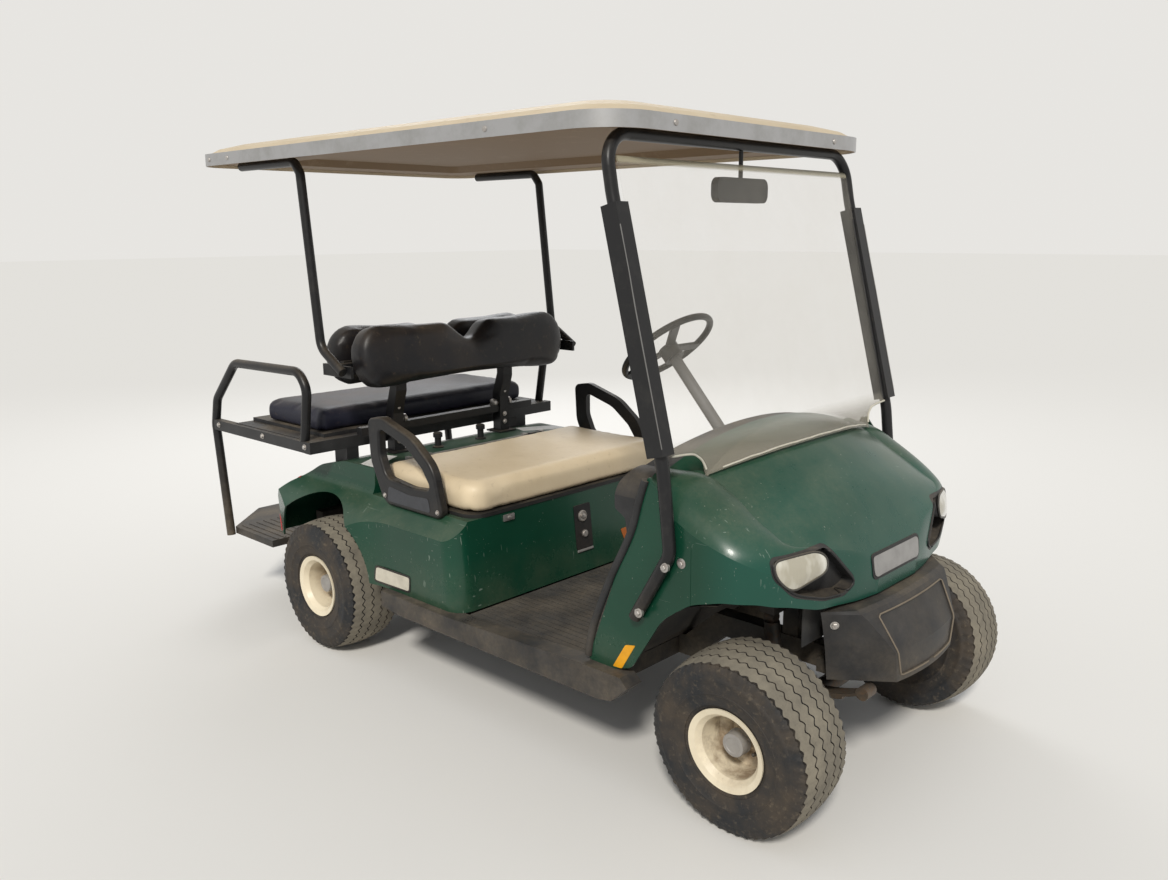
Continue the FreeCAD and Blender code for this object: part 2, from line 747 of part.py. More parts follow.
def make_cowl():
    """The one-piece cowl: nose, side panels, wheel arches and two lamps let into it."""
    bottom = 524
    nose = at.front_axle
    outer = cowl_loft(0, bottom)
    inner = cowl_loft(at.panel_wall, bottom - 20)
    shell = outer.cut(inner)
    foot = at.sill_top + 22 + at.fit
    panel = [(-240, 842), (-438, foot), (-345, foot), (-291, 336), (-197, 487), (-141, 530),
             (-112, 545), (-112, 690), (-176, 760)]
    wall = at.panel_wall
    side = Part.Face(bent_path([Vector(nose + x, at.cowl_half - wall, z) for x, z in panel],
                               [6, 8, 6, 40, 120, 60, 2, 4, 20], True))
    side = side.extrude(Vector(0, wall, 0))
    shell = shell.fuse([side, side.mirror(Vector(), Vector(0, 1, 0))])
    edge = [(-300, 300), (-291, 336), (-197, 487), (-112, 550), (-31, 572), (40, 574), (78, 560),
            (108, 534), (134, 524), (220, 523), (220, 300)]
    arch = Part.Face(bent_path([Vector(nose + x, -640, z) for x, z in edge],
                               [2, 40, 120, 120, 120, 60, 40, 40, 20, 2, 2], True))
    shell = shell.cut(arch.extrude(Vector(0, 1280, 0)))
    rim = [(136, 50, 16), (131, 2, 46), (72, -53, 80), (-28, -80, 60), (-100, -84, 30),
           (-148, -56, 24), (-40, 56, 34)]
    lamp = lamp_prism(rim, -80, 120)
    shell = shell.cut([lamp, lamp.mirror(Vector(), Vector(0, 1, 0))])
    keep(feature("Cowl", shell), "front_cowl")
    cup = [(127, 42, 10), (122, 2, 38), (66, -45, 70), (-28, -71, 52), (-98, -75, 22),
           (-136, -54, 16), (-38, 47, 26)]
    clear = [(127, 42, 10), (122, 2, 38), (80, -36, 10), (-30, -6, 14), (-34, 28, 20), (-2, 47, 16)]
    seat = [(across * 0.996, up * 0.996, bend) for across, up, bend in rim]
    body = lamp_prism(seat, -58, 120).common(outer)
    lens = lamp_prism(clear, -50, 120).common(cowl_loft(at.panel_wall, bottom - 20))
    lamp_body = body.cut(lamp_prism(cup, -46, 130)).fuse(lens)
    other = lamp_body.mirror(Vector(), Vector(0, 1, 0))
    keep(feature("Headlamps", Part.makeCompound([lamp_body, other])), "headlamps")


def make_dash():
    """The dash: a moulded shelf with three open bins, closing the cowl's back."""
    nose = at.front_axle
    ahead, narrow, side_top, crown_half, crown_low, drop = COWL[0]
    inset = at.panel_wall + 0.6
    back = Part.Face(cowl_section(nose - 268, at.cowl_half - narrow - inset, side_top - inset,
                                  crown_half - inset, crown_low - inset,
                                  at.cowl_top - drop - inset, 600))
    profile = [(-268, 600), (-268, 910), (-306, 910), (-330, 862), (-352, 800), (-352, 740),
               (-318, 720), (-300, 600)]
    half = at.cowl_half
    solid = Part.Face(bent_path([Vector(nose + x, -half, z) for x, z in profile],
                                [3, 3, 24, 20, 20, 12, 12, 6], True)).extrude(Vector(0, 2 * half, 0))
    solid = solid.common(back.extrude(Vector(-100, 0, 0)))
    bins = []
    for low, high in ((-470, -150), (60, 190), (350, 470)):
        bins.append(Part.makeBox(60, high - low, 60, Vector(nose - 362, low, 748)))
    keep(feature("Dash", solid.cut(bins)), "dash_panel")


# Rear body

def body_hull(grow):
    """The outer form of the rear body, or one a little larger or smaller."""
    axle = at.rear_axle
    front = at.seat_x + grow
    base = at.seat_base_top + grow
    shelf = at.shelf_top + grow
    low = at.sill_top + at.fit - 60
    profile = [
        (front + 60, low), (front + 60, base), (at.shelf_x + grow, base),
        (at.shelf_x + grow, shelf), (axle + 34, shelf), (axle - 110, 618 + grow),
        (axle - 262, 536 + grow), (axle - 350 - grow, 440), (axle - 330 - grow, 340),
        (axle - 326 - grow, low),
    ]
    half = at.body_half + grow
    points = [Vector(x, -half - 80, z) for x, z in profile]
    face = Part.Face(bent_path(points, [2, 16, 1, 14, 160, 200, 110, 50, 30, 2], True))
    body = face.extrude(Vector(0, 2 * half + 160, 0))
    tail = axle - 354 - grow
    waist = half - 20
    slope = 0.106
    toe = front + slope * (at.floor_top - 200)
    corner = [(toe, -waist), (axle + 330, -waist), (axle, -half - 74), (tail, -half + 60),
              (tail, half - 60), (axle, half + 74), (axle + 330, waist), (toe, waist)]
    plan = rounded_face(corner, [60, 600, 400, 120, 120, 400, 600, 60], 200)
    body = body.common(plan.extrude(Vector(-600 * slope, 0, 600)))
    lean = [(half + 60, 200), (half + 50, 360), (half + 14, 482), (half - 94, 572), (half - 104, 760)]
    ends = lean + [(-y, z) for y, z in reversed(lean)]
    across = Part.Face(bent_path([Vector(tail - 60, y, z) for y, z in ends],
                                 [1, 60, 110, 60, 1, 1, 60, 110, 60, 1], True))
    return body.common(across.extrude(Vector(at.seat_x - tail + 160, 0, 0)))


def make_rear_body():
    """The moulded rear body: seat box, shelf, sloping tail and two wheel arches."""
    axle = at.rear_axle
    half = at.body_half
    shell = body_hull(0).cut(body_hull(-at.panel_wall))
    low = at.sill_top + at.fit
    below = Part.makeBox(1200, 1400, 100, Vector(axle - 400, -700, low - 100))
    behind = Part.makeBox(400, 1400, 345 - low + 100, Vector(axle - 400, -700, low - 100))
    tools = [below, behind]
    for side in (-1, 1):
        tools.append(Part.makeCylinder(tyre_room(), 200, Vector(axle, side * (half - 60), 262),
                                       Vector(0, side, 0)))
    bay_half = at.seat_half - 56
    bay = rounded_face([(at.seat_x - 96, -bay_half), (at.shelf_x + 36, -bay_half),
                        (at.shelf_x + 36, bay_half), (at.seat_x - 96, bay_half)], 40,
                       at.seat_base_top - 30)
    tools.append(bay.extrude(Vector(0, 0, 60)))
    keep(feature("RearBody", shell.cut(tools)), "rear_body")
    lamps = []
    outer = body_hull(2.3)
    core = body_hull(at.fit)
    for high, low, inset in ((560, 494, 96), (404, 352, 53)):
        for side in (-1, 1):
            slab = Part.makeBox(200, 46, high - low,
                                Vector(axle - 420, side * (half - inset) - 23, low))
            lamps.append(slab.common(outer).cut(core))
    keep(feature("TailLamps", Part.makeCompound(lamps)), "tail_lamps")


def tyre_room():
    return at.tyre_radius + 54


def make_battery():
    cell = block("Battery", "rear_axle + 338", "seat_x - 60", "-400", "400",
                 "floor_top - floor_skin", "seat_base_top - 50")
    keep(cell, "battery_pack")


# Seats

def hinge_eyes(x, z, spans, web_end, web_low):
    """Hinge knuckles round a pin across the cart: a barrel and a flat web on each span."""
    eyes = []
    for low, high in spans:
        barrel = Part.makeCylinder(6, high - low, Vector(x, low, z), Vector(0, 1, 0))
        web = Part.makeBox(web_end - x, high - low, 3.4, Vector(x, low, web_low))
        eyes.append(barrel.fuse(web))
    return eyes


def make_seats():
    """The front seat: a board and its cushion, hinged at the shelf as a lid."""
    pin_x = at.lid_pin_x
    pin_z = at.lid_pin_z
    front = at.seat_x - 18
    back = at.shelf_x + at.gap
    half = at.seat_half
    board = rounded_face([(front - 8, 6 - half), (front - 8, half - 6), (back, half - 6),
                          (back, 6 - half)], [60, 60, 24, 24], at.seat_base_top + at.fit)
    pieces = [board.extrude(Vector(0, 0, 11.7))]
    for low, high in ((-300, -240), (240, 300)):
        strap = Part.makeBox(3.4, high - low, pin_z - at.seat_base_top - at.fit,
                             Vector(at.shelf_x + 1.6, low, at.seat_base_top + at.fit))
        foot = Part.makeBox(8, high - low, 3.4,
                            Vector(at.shelf_x + 1.6, low, at.seat_base_top + at.fit))
        top = Part.makeBox(at.shelf_x + 5 - pin_x, high - low, 3.4, Vector(pin_x, low, pin_z + 2.6))
        eye = Part.makeCylinder(6, high - low, Vector(pin_x, low, pin_z), Vector(0, 1, 0))
        rise = Part.makeBox(3.4, high - low, 6, Vector(at.shelf_x + 1.6, low, pin_z))
        pieces += [strap, foot, top, eye, rise]
    hole = Part.makeCylinder(at.hinge_pin + at.running, 800, Vector(pin_x, -400, pin_z),
                             Vector(0, 1, 0))
    keep(feature("SeatBoard", pieces[0].fuse(pieces[1:]).cut(hole)), "seat_board")
    low = at.seat_base_top + 12 + 0.4
    cushion = rounded_face([(front, -half), (front, half), (back, half), (back, -half)],
                           [64, 64, 30, 30], low)
    cushion = cushion.extrude(Vector(0, 0, at.cushion_thick))
    top = [edge for edge in cushion.Edges
           if abs(edge.CenterOfMass.z - low - at.cushion_thick) < 0.1]
    keep(feature("SeatCushion", cushion.makeFillet(26, top)), "seat_cushion")
    lugs = [Part.makeCylinder(at.hinge_pin, 640, Vector(pin_x, -320, pin_z), Vector(0, 1, 0))]
    for low_y, high_y in ((-320, -304), (-236, -220), (220, 236), (304, 320)):
        lugs.append(Part.makeBox(22, high_y - low_y, pin_z + 5 - at.shelf_top - at.fit,
                                 Vector(pin_x - 17, low_y, at.shelf_top + at.fit)))
    keep(feature("SeatHinge", lugs[0].fuse(lugs[1:])), "seat_hinge")


def backrest(name, x, half, low, high, hump, thick, lean, face):
    """A two-person backrest: two humps side by side, padded towards face."""
    right = [(-half + 52, low - 8), (-half, low + 74), (-half + 16, high - 14), (-104, high)]
    left = [(-y, z) for y, z in reversed(right)]
    points = right + [(0, high - hump)] + left + [(0, low + 4)]
    outline_face = Part.Face(bent_path([Vector(0, y, z - low) for y, z in points],
                                       [54, 120, 92, 74, 60, 74, 92, 120, 54, 900], True))
    pad = outline_face.extrude(Vector(thick * face, 0, 0))
    edge_x = thick * face
    rim = [edge for edge in pad.Edges if abs(edge.CenterOfMass.x - edge_x) < 0.1]
    pad = pad.makeFillet(30, rim)
    part = feature(name, pad)
    part.Placement = Placement(Vector(x, 0, low), Rotation(Vector(0, 1, 0), -lean))
    return keep(part, name)


def make_backrests():
    axle = at.rear_axle
    front = backrest("backrest_front", axle + 101, 476, 890, 1114, 78, 96, 8, 1)
    rear = backrest("backrest_rear", axle - 14, 466, 888, 1104, 70, 88, -8, -1)
    return [front.Shape.translated(Vector(-at.fit, 0, 0)),
            rear.Shape.translated(Vector(at.fit, 0, 0))]


def make_backrest_frame(backs):
    """Two raked uprights that stand on the shelf and carry both backrests."""
    foot = "shelf_top + fit"
    pieces = []
    upright = padded("Upright", "XZ_Plane", (
        ("rear_axle + 16", foot),
        ("rear_axle + 58", foot),
        ("rear_axle + 58", "790"),
        ("rear_axle + 82", "872"),
        ("rear_axle + 82", "986"),
        ("rear_axle + 44", "986"),
        ("rear_axle + 44", "880"),
        ("rear_axle + 16", "800"),
    ), "-250 - 22", "44")
    pieces += [upright, mirrored("UprightOther", upright)]
    for sign, word in (("", "L"), ("-", "R")):
        y = "%s250" % sign
        pieces.append(block("Foot" + word, "rear_axle - 4", "rear_axle + 78", y + " - 40",
                            y + " + 40", foot, foot + " + 6"))
        y = "%s(strut_half - strut_tube - fit - 5)" % sign
        pieces.append(block("Cheek" + word, "rear_axle + 20", "rear_axle + 180", y + " - 5",
                            y + " + 5", "950", "988"))
        y = "%s300" % sign
        pieces.append(block("Link" + word, "rear_axle + 2", "rear_axle + 60", y + " - 16",
                            y + " + 16", "956", "980"))
    pieces.append(block("BarLow", "rear_axle + 22", "rear_axle + 52", "-400", "400",
                        "730", "756"))
    pieces.append(block("BarHigh", "rear_axle + 46", "rear_axle + 87",
                        "5 - strut_half + strut_tube", "strut_half - strut_tube - 5",
                        "950", "986"))
    pieces.append(block("BarRear", "rear_axle - 3", "rear_axle + 26", "-440", "440",
                        "950", "986"))
    room = feature("BackrestRoom", backs[0].fuse(backs[1]))
    keep(less("BackrestFrame", fused("BackrestFrameAll", pieces), room), "backrest_frame")


def make_arm_loops():
    """The arm loop beside each front seat: a flat moulded loop with a deep lower band."""
    outer = [(226, 260), (300, 272), (452, 226), (556, 146), (596, -10), (300, -10), (234, 124)]
    inner = [(286, 234), (420, 194), (500, 134), (544, 74), (440, 66), (318, 80), (286, 150)]
    y = at.seat_half + 8
    loops = []
    for side in (-1, 1):
        faces = []
        for spots, bends in ((outer, [24, 60, 160, 110, 24, 60, 90]),
                             (inner, [16, 120, 70, 14, 200, 40, 60])):
            points = [Vector(at.rear_axle + x, side * y, at.seat_base_top + z) for x, z in spots]
            faces.append(Part.Face(bent_path(points, bends, True)))
        loop = faces[0].cut(faces[1]).extrude(Vector(0, side * 28, 0))
        edges = [edge for edge in loop.Edges if abs(abs(edge.CenterOfMass.y) - y - 28) < 0.1]
        loops.append(loop.makeFillet(9, edges).cut(body_hull(at.fit)))
    keep(feature("ArmLoops", Part.makeCompound(loops)), "arm_loops")


# Rear deck, hoops and footplate

def make_deck(hoops):
    """The rear load deck: a tube frame on two posts, its panel, and the flip seat."""
    low = "deck_top - 40"
    pieces = [
        block("DeckBeam", "rear_axle - 42", "rear_axle - 8", "-hoop_half - 16",
              "hoop_half + 16", low, "deck_top"),
        block("DeckStrip", "deck_tail", "deck_tail + 30", "-hoop_half", "hoop_half",
              low, "deck_top"),
        block("DeckSheet", "deck_tail + 10", "rear_axle - 20", "-hoop_half + 4",
              "hoop_half - 4", "deck_top - 8", "deck_top"),
    ]
    for sign, word in (("", "L"), ("-", "R")):
        centre = sign + "hoop_half"
        pieces.append(block("DeckRail" + word, "rear_axle - 690", "rear_axle - 20",
                            centre + " - 14", centre + " + 14", low, "deck_top - 2"))
        post = sign + "400"
        pieces.append(block("DeckPost" + word, "rear_axle - 84", "rear_axle - 10",
                            post + " - 24", post + " + 24", "600", low + " + 4"))
    pin = Part.makeCylinder(at.hinge_pin, 900, Vector(at.flip_pin_x, -450, at.flip_pin_z),
                            Vector(0, 1, 0))
    lugs = [pin]
    for middle in (-380, 0, 380):
        lugs.append(Part.makeBox(12, 30, at.flip_pin_z - at.deck_top + 36,
                                 Vector(at.flip_pin_x - 5, middle - 15, at.deck_top - 30)))
    pieces.append(feature("FlipPin", lugs[0].fuse(lugs[1:])))
    room = feature("DeckRoom", body_hull(at.fit).fuse(hoops))
    keep(less("DeckFrame", fused("DeckFrameAll", pieces), room), "deck_frame")
    board = Part.makeBox(at.deck_rear - 52 - 6, 968, 12.7,
                         Vector(at.deck_tail + 6, -484, at.deck_top + at.fit))
    eyes = hinge_eyes(at.flip_pin_x, at.flip_pin_z, ((-300, -240), (240, 300)),
                      at.deck_tail + 8, at.flip_pin_z - 1.7)
    hole = Part.makeCylinder(at.hinge_pin + at.running, 900,
                             Vector(at.flip_pin_x, -450, at.flip_pin_z), Vector(0, 1, 0))
    keep(feature("FlipBoard", board.fuse(eyes).cut(hole)), "flip_board")
    front = at.rear_axle - 70
    back = at.rear_axle - 470
    low_z = at.deck_top + 13 + 0.4
    cushion = rounded_face([(front, -486), (front, 486), (back, 486), (back, -486)],
                           [30, 30, 50, 50], low_z).extrude(Vector(0, 0, at.rear_cushion_thick))
    top = [edge for edge in cushion.Edges
           if abs(edge.CenterOfMass.z - low_z - at.rear_cushion_thick) < 0.1]
    keep(feature("RearCushion", cushion.makeFillet(22, top)), "rear_cushion")


def rear_hoop(side, radius):
    """A grab hoop: up from the deck rail, back, down past the rail and to the footplate."""
    axle = at.rear_axle
    y = at.hoop_half
    points = sided([(axle - 62, y, at.deck_top - 2 + at.fit), (axle - 30, y, 900),
                    (axle - 74, y, 955), (axle - 507, y, 948), (axle - 664, y, 800),
                    (axle - 690, y, 700), (axle - 640, y, at.footplate_top - 30)], side)
    return tube_shape(points, radius, [0, 64, 64, 70, 60, 60, 0])


def make_rear_hoops():
    hoops = [rear_hoop(side, at.hoop_tube) for side in (-1, 1)]
    keep(feature("RearHoops", Part.makeCompound(hoops)), "rear_hoops")


def make_footplate():
    plate = padded("Footplate", "XY_Plane", (
        ("rear_axle - 360", "-inner_half"),
        ("rear_axle - 634", "-inner_half"),
        ("rear_axle - rear_overhang", "-340"),
        ("rear_axle - rear_overhang", "340"),
        ("rear_axle - 634", "inner_half"),
        ("rear_axle - 360", "inner_half"),
    ), "footplate_top - footplate_thick", "footplate_thick")
    keep(plate, "footplate")


# Roof, hoop and windshield

def hoop_line():
    """The straight lean of the front hoop's side, from above the cowl to the roof."""
    nose = at.front_axle
    return Vector(nose - 184, at.hoop_half, 872), Vector(nose - 343, at.hoop_half - 3, 1496)


def make_front_hoop():
    nose = at.front_axle
    low, high = hoop_line()
    top = at.roof_under - at.hoop_tube - at.fit
    half = [(nose - 266, at.hoop_half, 484), (nose - 160, at.hoop_half, 666), tuple(low),
            tuple(high), (nose - 368, at.hoop_half - 4, top)]
    points = sided(half, -1) + sided(reversed(half), 1)
    bends = [0, 60, 300, 300, 80, 80, 300, 300, 60, 0]
    hoop = tube_shape(points, at.hoop_tube, bends)
    way = (high - low).normalize()
    for side in (-1, 1):
        foot = sided([tuple(low + way * 26)], side)[0]
        heading = sided([tuple(way)], side)[0]
        sleeve = Part.makeBox(48, 44, 590, Vector(-24, -22, 0))
        sleeve.Placement = Placement(foot, Rotation(Vector(0, 0, 1), heading))
        hoop = hoop.fuse(sleeve)
    keep(feature("FrontHoop", hoop), "front_hoop")


def over_crown(half, gap, thick):
    """A solid that starts a gap above the cowl's crown, over the back half of the cowl."""
    wires = []
    for ahead, narrow, side_top, crown_half, crown_low, drop in COWL[:4]:
        top = at.cowl_top - drop
        rise = top - crown_low
        radius = (crown_half ** 2 + rise ** 2) / (2 * rise)
        edge = top - radius + math.sqrt(radius ** 2 - half ** 2)
        x = at.front_axle + ahead
        corners = []
        for level in (gap, gap + thick):
            corners.append([Vector(x, -half, edge + level), Vector(x, 0, top + level),
                            Vector(x, half, edge + level)])
        lower, upper = corners
        wires.append(Part.Wire([
            Part.Arc(*lower).toShape(),
            Part.LineSegment(lower[2], upper[2]).toShape(),
            Part.Arc(*reversed(upper)).toShape(),
            Part.LineSegment(upper[0], lower[0]).toShape(),
        ]))
    return Part.makeLoft(wires, True, False)


def make_windshield():
    """A flat sheet between the hoop's sleeves, its foot turned forward over the cowl."""
    nose = at.front_axle
    half = at.hoop_half - 22 - at.fit - 3
    line = [(-151, 778), (-346, 1574), (-355, 1579)]
    path = bent_path([Vector(nose + x, -half, z) for x, z in line], [0, 12, 0])
    strip = path.makeOffset2D(at.glass_thick, fill=True, openResult=True, join=0)
    face = strip if strip.ShapeType == "Face" else Part.Face(strip.Wires[0])
    sheet = face.extrude(Vector(0, 2 * half, 0))
    foot = [(half + 5, 894), (446, 890), (410, 866), (398, 770), (-398, 770), (-410, 866),
            (-446, 890), (-half - 5, 894), (-half - 5, 1640), (half + 5, 1640)]
    front = Part.Face(bent_path([Vector(nose - 500, y, z) for y, z in foot],
                                [0.1, 26, 26, 4, 4, 26, 26, 0.1, 0.1, 0.1], True))
    sheet = sheet.common(front.extrude(Vector(500, 0, 0)))
    gap = 12
    under = over_crown(412, gap - 200, 200)
    tongue = over_crown(404, gap - 6, at.glass_thick + 6)
    behind = Part.Face(Part.makePolygon([Vector(nose + x, -half - 20, z) for x, z in (
        (-153.5, 778), (-348.5, 1574), (-700, 1574), (-700, 778), (-153.5, 778))]))
    ends = [Vector(nose - x, y, 700) for x, y in ((166, 403), (240, 403), (240, -403), (166, -403))]
    lip = Part.Wire([
        Part.LineSegment(ends[0], ends[1]).toShape(),
        Part.LineSegment(ends[1], ends[2]).toShape(),
        Part.LineSegment(ends[2], ends[3]).toShape(),
        Part.Arc(ends[3], Vector(nose - 92, 0, 700), ends[0]).toShape(),
    ])
    tongue = tongue.common(Part.Face(lip).extrude(Vector(0, 0, 400)))
    tongue = tongue.cut(behind.extrude(Vector(0, 2 * half + 40, 0)))
    keep(feature("Windshield", sheet.fuse(tongue).cut(under)), "windshield")


def make_mirror():
    """A wide mirror on a short stem under the hoop's cross bar."""
    x = at.front_axle - 368
    glass = rounded_face([(-118, 1481), (118, 1481), (118, 1546), (-118, 1546)], 22, -11)
    glass = glass.extrude(Vector(0, 0, 22))
    glass.Placement = Placement(Vector(x, 0, 0), Rotation(Vector(1, 1, 1), 120))
    top = at.roof_under - 2 * at.hoop_tube - 2 * at.fit
    stem = Part.makeCylinder(6, top - 1540, Vector(x, 0, 1540))
    keep(feature("Mirror", glass.fuse(stem)), "mirror")


def roof_outline(inset, level):
    half = at.roof_half - inset
    front = at.roof_nose - inset
    rear = at.roof_tail + inset
    corners = [(front, -half), (front, half), (rear, half), (rear, -half)]
    return rounded_face(corners, [135 - inset * 0.4, 135 - inset * 0.4, 95 - inset * 0.3,
                                  95 - inset * 0.3], level)


def make_roof():
    """The moulded roof: a domed top over a flat underside with a raised middle."""
    low = at.roof_under
    top = at.roof_band_z + at.roof_band_high
    rim = at.band_skin + at.fit
    layers = ((rim, low), (rim, top - 6), (rim + 34, top + 16), (rim + 100, top + 34),
              (rim + 190, top + at.roof_crown - 16))
    wires = [roof_outline(inset, level).OuterWire for inset, level in layers]
    dome = Part.makeLoft(wires, True, True)
    skirt = roof_outline(rim, at.roof_band_z).extrude(Vector(0, 0, low - at.roof_band_z))
    skirt = skirt.cut(roof_outline(rim + at.roof_skin, at.roof_band_z - 1).extrude(
        Vector(0, 0, low - at.roof_band_z + 1)))
    recess = Part.makeLoft([roof_outline(170, low - 1).OuterWire,
                            roof_outline(200, low + 24).OuterWire], True, True)
    keep(feature("Roof", dome.fuse(skirt).cut(recess)), "canopy")
    ring = roof_outline(0, at.roof_band_z).extrude(Vector(0, 0, at.roof_band_high))
    hole = roof_outline(at.band_skin, at.roof_band_z - 1)
    ring = ring.cut(hole.extrude(Vector(0, 0, at.roof_band_high + 2)))
    keep(feature("RoofBand", ring), "canopy_band")


def make_rear_struts():
    axle = at.rear_axle
    half = at.strut_half
    top = at.roof_under - at.strut_tube - at.fit
    struts = []
    for side in (-1, 1):
        points = sided([(axle + 158, half, 970), (axle + 40, half, 1042), (axle - 22, half, 1596),
                        (axle - 52, half, top), (axle - 390, half, top)], side)
        struts.append(tube_shape(points, at.strut_tube, [0, 60, 20, 30, 0]))
    keep(feature("RearStruts", Part.makeCompound(struts)), "rear_struts")


# Controls

def make_steering():
    """The column from toe board to wheel, the three-spoke wheel, and two pedals."""
    slope = math.radians(at.column_slope)
    up = Vector(-math.cos(slope), 0, math.sin(slope))
    centre = Vector(at.front_axle - at.steer_back, at.steer_y, at.steer_high)
    length = 800
    top = centre - up * (at.steer_boss + at.fit)
    column = Part.makeCylinder(at.column_radius, length, top - up * length, up)
    toe = Part.Face(bent_path([Vector(at.front_axle + x - at.fit, 100, at.floor_top + z) for x, z in
                               ((-410, 0), (-322, 170), (-288, 300), (0, 300), (0, 0))], 1, True))
    column = column.cut(toe.extrude(Vector(0, 400, 0)))
    keep(feature("Column", column), "steering_column")
    ring = Part.makeTorus(at.steer_radius - 11, 11)
    boss = Part.makeCylinder(34, at.steer_boss, Vector(0, 0, -at.steer_boss))
    spokes = []
    for turn in (90, 215, 325):
        spoke = Part.makeBox(at.steer_radius - 12, 30, 10, Vector(0, -15, -12))
        spoke.rotate(Vector(), Vector(0, 0, 1), turn)
        spokes.append(spoke)
    part = feature("SteeringWheel", ring.fuse([boss] + spokes))
    part.Placement = Placement(centre, Rotation(Vector(0, 0, 1), up))
    keep(part, "steering_wheel")
    keep(fused("Pedals", [
        block("BrakePad", "front_axle - 470", "front_axle - 458", "100", "190", "400", "470"),
        block("BrakeArm", "front_axle - 462", "front_axle - 336.5", "136", "152", "432", "446"),
        block("GoPad", "front_axle - 450", "front_axle - 438", "330", "400", "330", "450"),
        block("GoArm", "front_axle - 440", "front_axle - 353.5", "356", "372", "400", "414"),
    ]), "pedals")


make_wheels()
make_running_gear()
make_suspension()
make_frame()
make_floor()
make_bumper()
make_cowl()
make_dash()
make_rear_body()
make_battery()
make_seats()
backs = make_backrests()
make_backrest_frame(backs)
make_arm_loops()
make_deck([rear_hoop(side, at.hoop_tube + at.fit) for side in (-1, 1)])
make_rear_hoops()
make_footplate()
make_front_hoop()
make_windshield()
make_mirror()
make_roof()
make_rear_struts()
make_steering()


def check_and_write():
    """Stop on a failed object, and write each sub-part to its file."""
    doc.recompute()
    for obj in doc.Objects:
        if "Invalid" in obj.State or "Error" in obj.State:
            raise RuntimeError("%s did not compute: %s" % (obj.Label, obj.State))
    for obj in NODES:
        if obj.Shape.isNull() or not obj.Shape.isValid():
            raise RuntimeError("%s has no valid shape" % obj.Label)
    os.makedirs("parts", exist_ok=True)
    for obj in NODES:
        obj.Shape.exportStep("parts/%s.step" % obj.Label)
        box = obj.Shape.BoundBox
        print("%-22s solids %d volume %9.0f  x %7.0f %7.0f  y %6.0f %6.0f  z %6.0f %6.0f" % (
            obj.Label, len(obj.Shape.Solids), obj.Shape.Volume, box.XMin, box.XMax,
            box.YMin, box.YMax, box.ZMin, box.ZMax))


check_and_write()
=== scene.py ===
import json
import math

import bmesh
import bpy
from mathutils import Matrix, Quaternion, Vector, noise
from mathutils.bvhtree import BVHTree


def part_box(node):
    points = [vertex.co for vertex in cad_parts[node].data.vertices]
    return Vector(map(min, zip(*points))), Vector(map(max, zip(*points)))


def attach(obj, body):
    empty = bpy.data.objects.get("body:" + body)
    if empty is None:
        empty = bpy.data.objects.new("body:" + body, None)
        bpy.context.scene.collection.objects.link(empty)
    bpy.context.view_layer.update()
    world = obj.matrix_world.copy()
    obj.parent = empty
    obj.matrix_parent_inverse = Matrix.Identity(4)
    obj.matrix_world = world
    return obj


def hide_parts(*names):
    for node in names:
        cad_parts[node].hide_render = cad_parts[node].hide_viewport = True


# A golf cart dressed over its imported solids, in metres where no comment says
# millimetres. +X is forward, +Y is the driver's side, +Z is up.

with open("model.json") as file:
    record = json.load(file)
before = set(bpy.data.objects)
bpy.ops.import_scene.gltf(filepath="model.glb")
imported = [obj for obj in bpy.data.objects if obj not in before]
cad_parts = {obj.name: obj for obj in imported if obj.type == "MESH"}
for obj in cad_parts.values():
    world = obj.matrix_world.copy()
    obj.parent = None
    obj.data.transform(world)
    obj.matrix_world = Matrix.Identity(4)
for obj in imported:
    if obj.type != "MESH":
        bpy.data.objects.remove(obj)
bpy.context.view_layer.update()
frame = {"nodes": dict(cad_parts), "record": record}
NODES = frame["nodes"]
MM = 0.001
SIDES = ((-1, "right"), (1, "left"))

# Materials

DUST = (0.42, 0.33, 0.22)
MUD = (0.20, 0.14, 0.085)


def set_inputs(node, values):
    """Set a node's inputs by their names."""
    for name, value in values.items():
        node.inputs[name].default_value = value


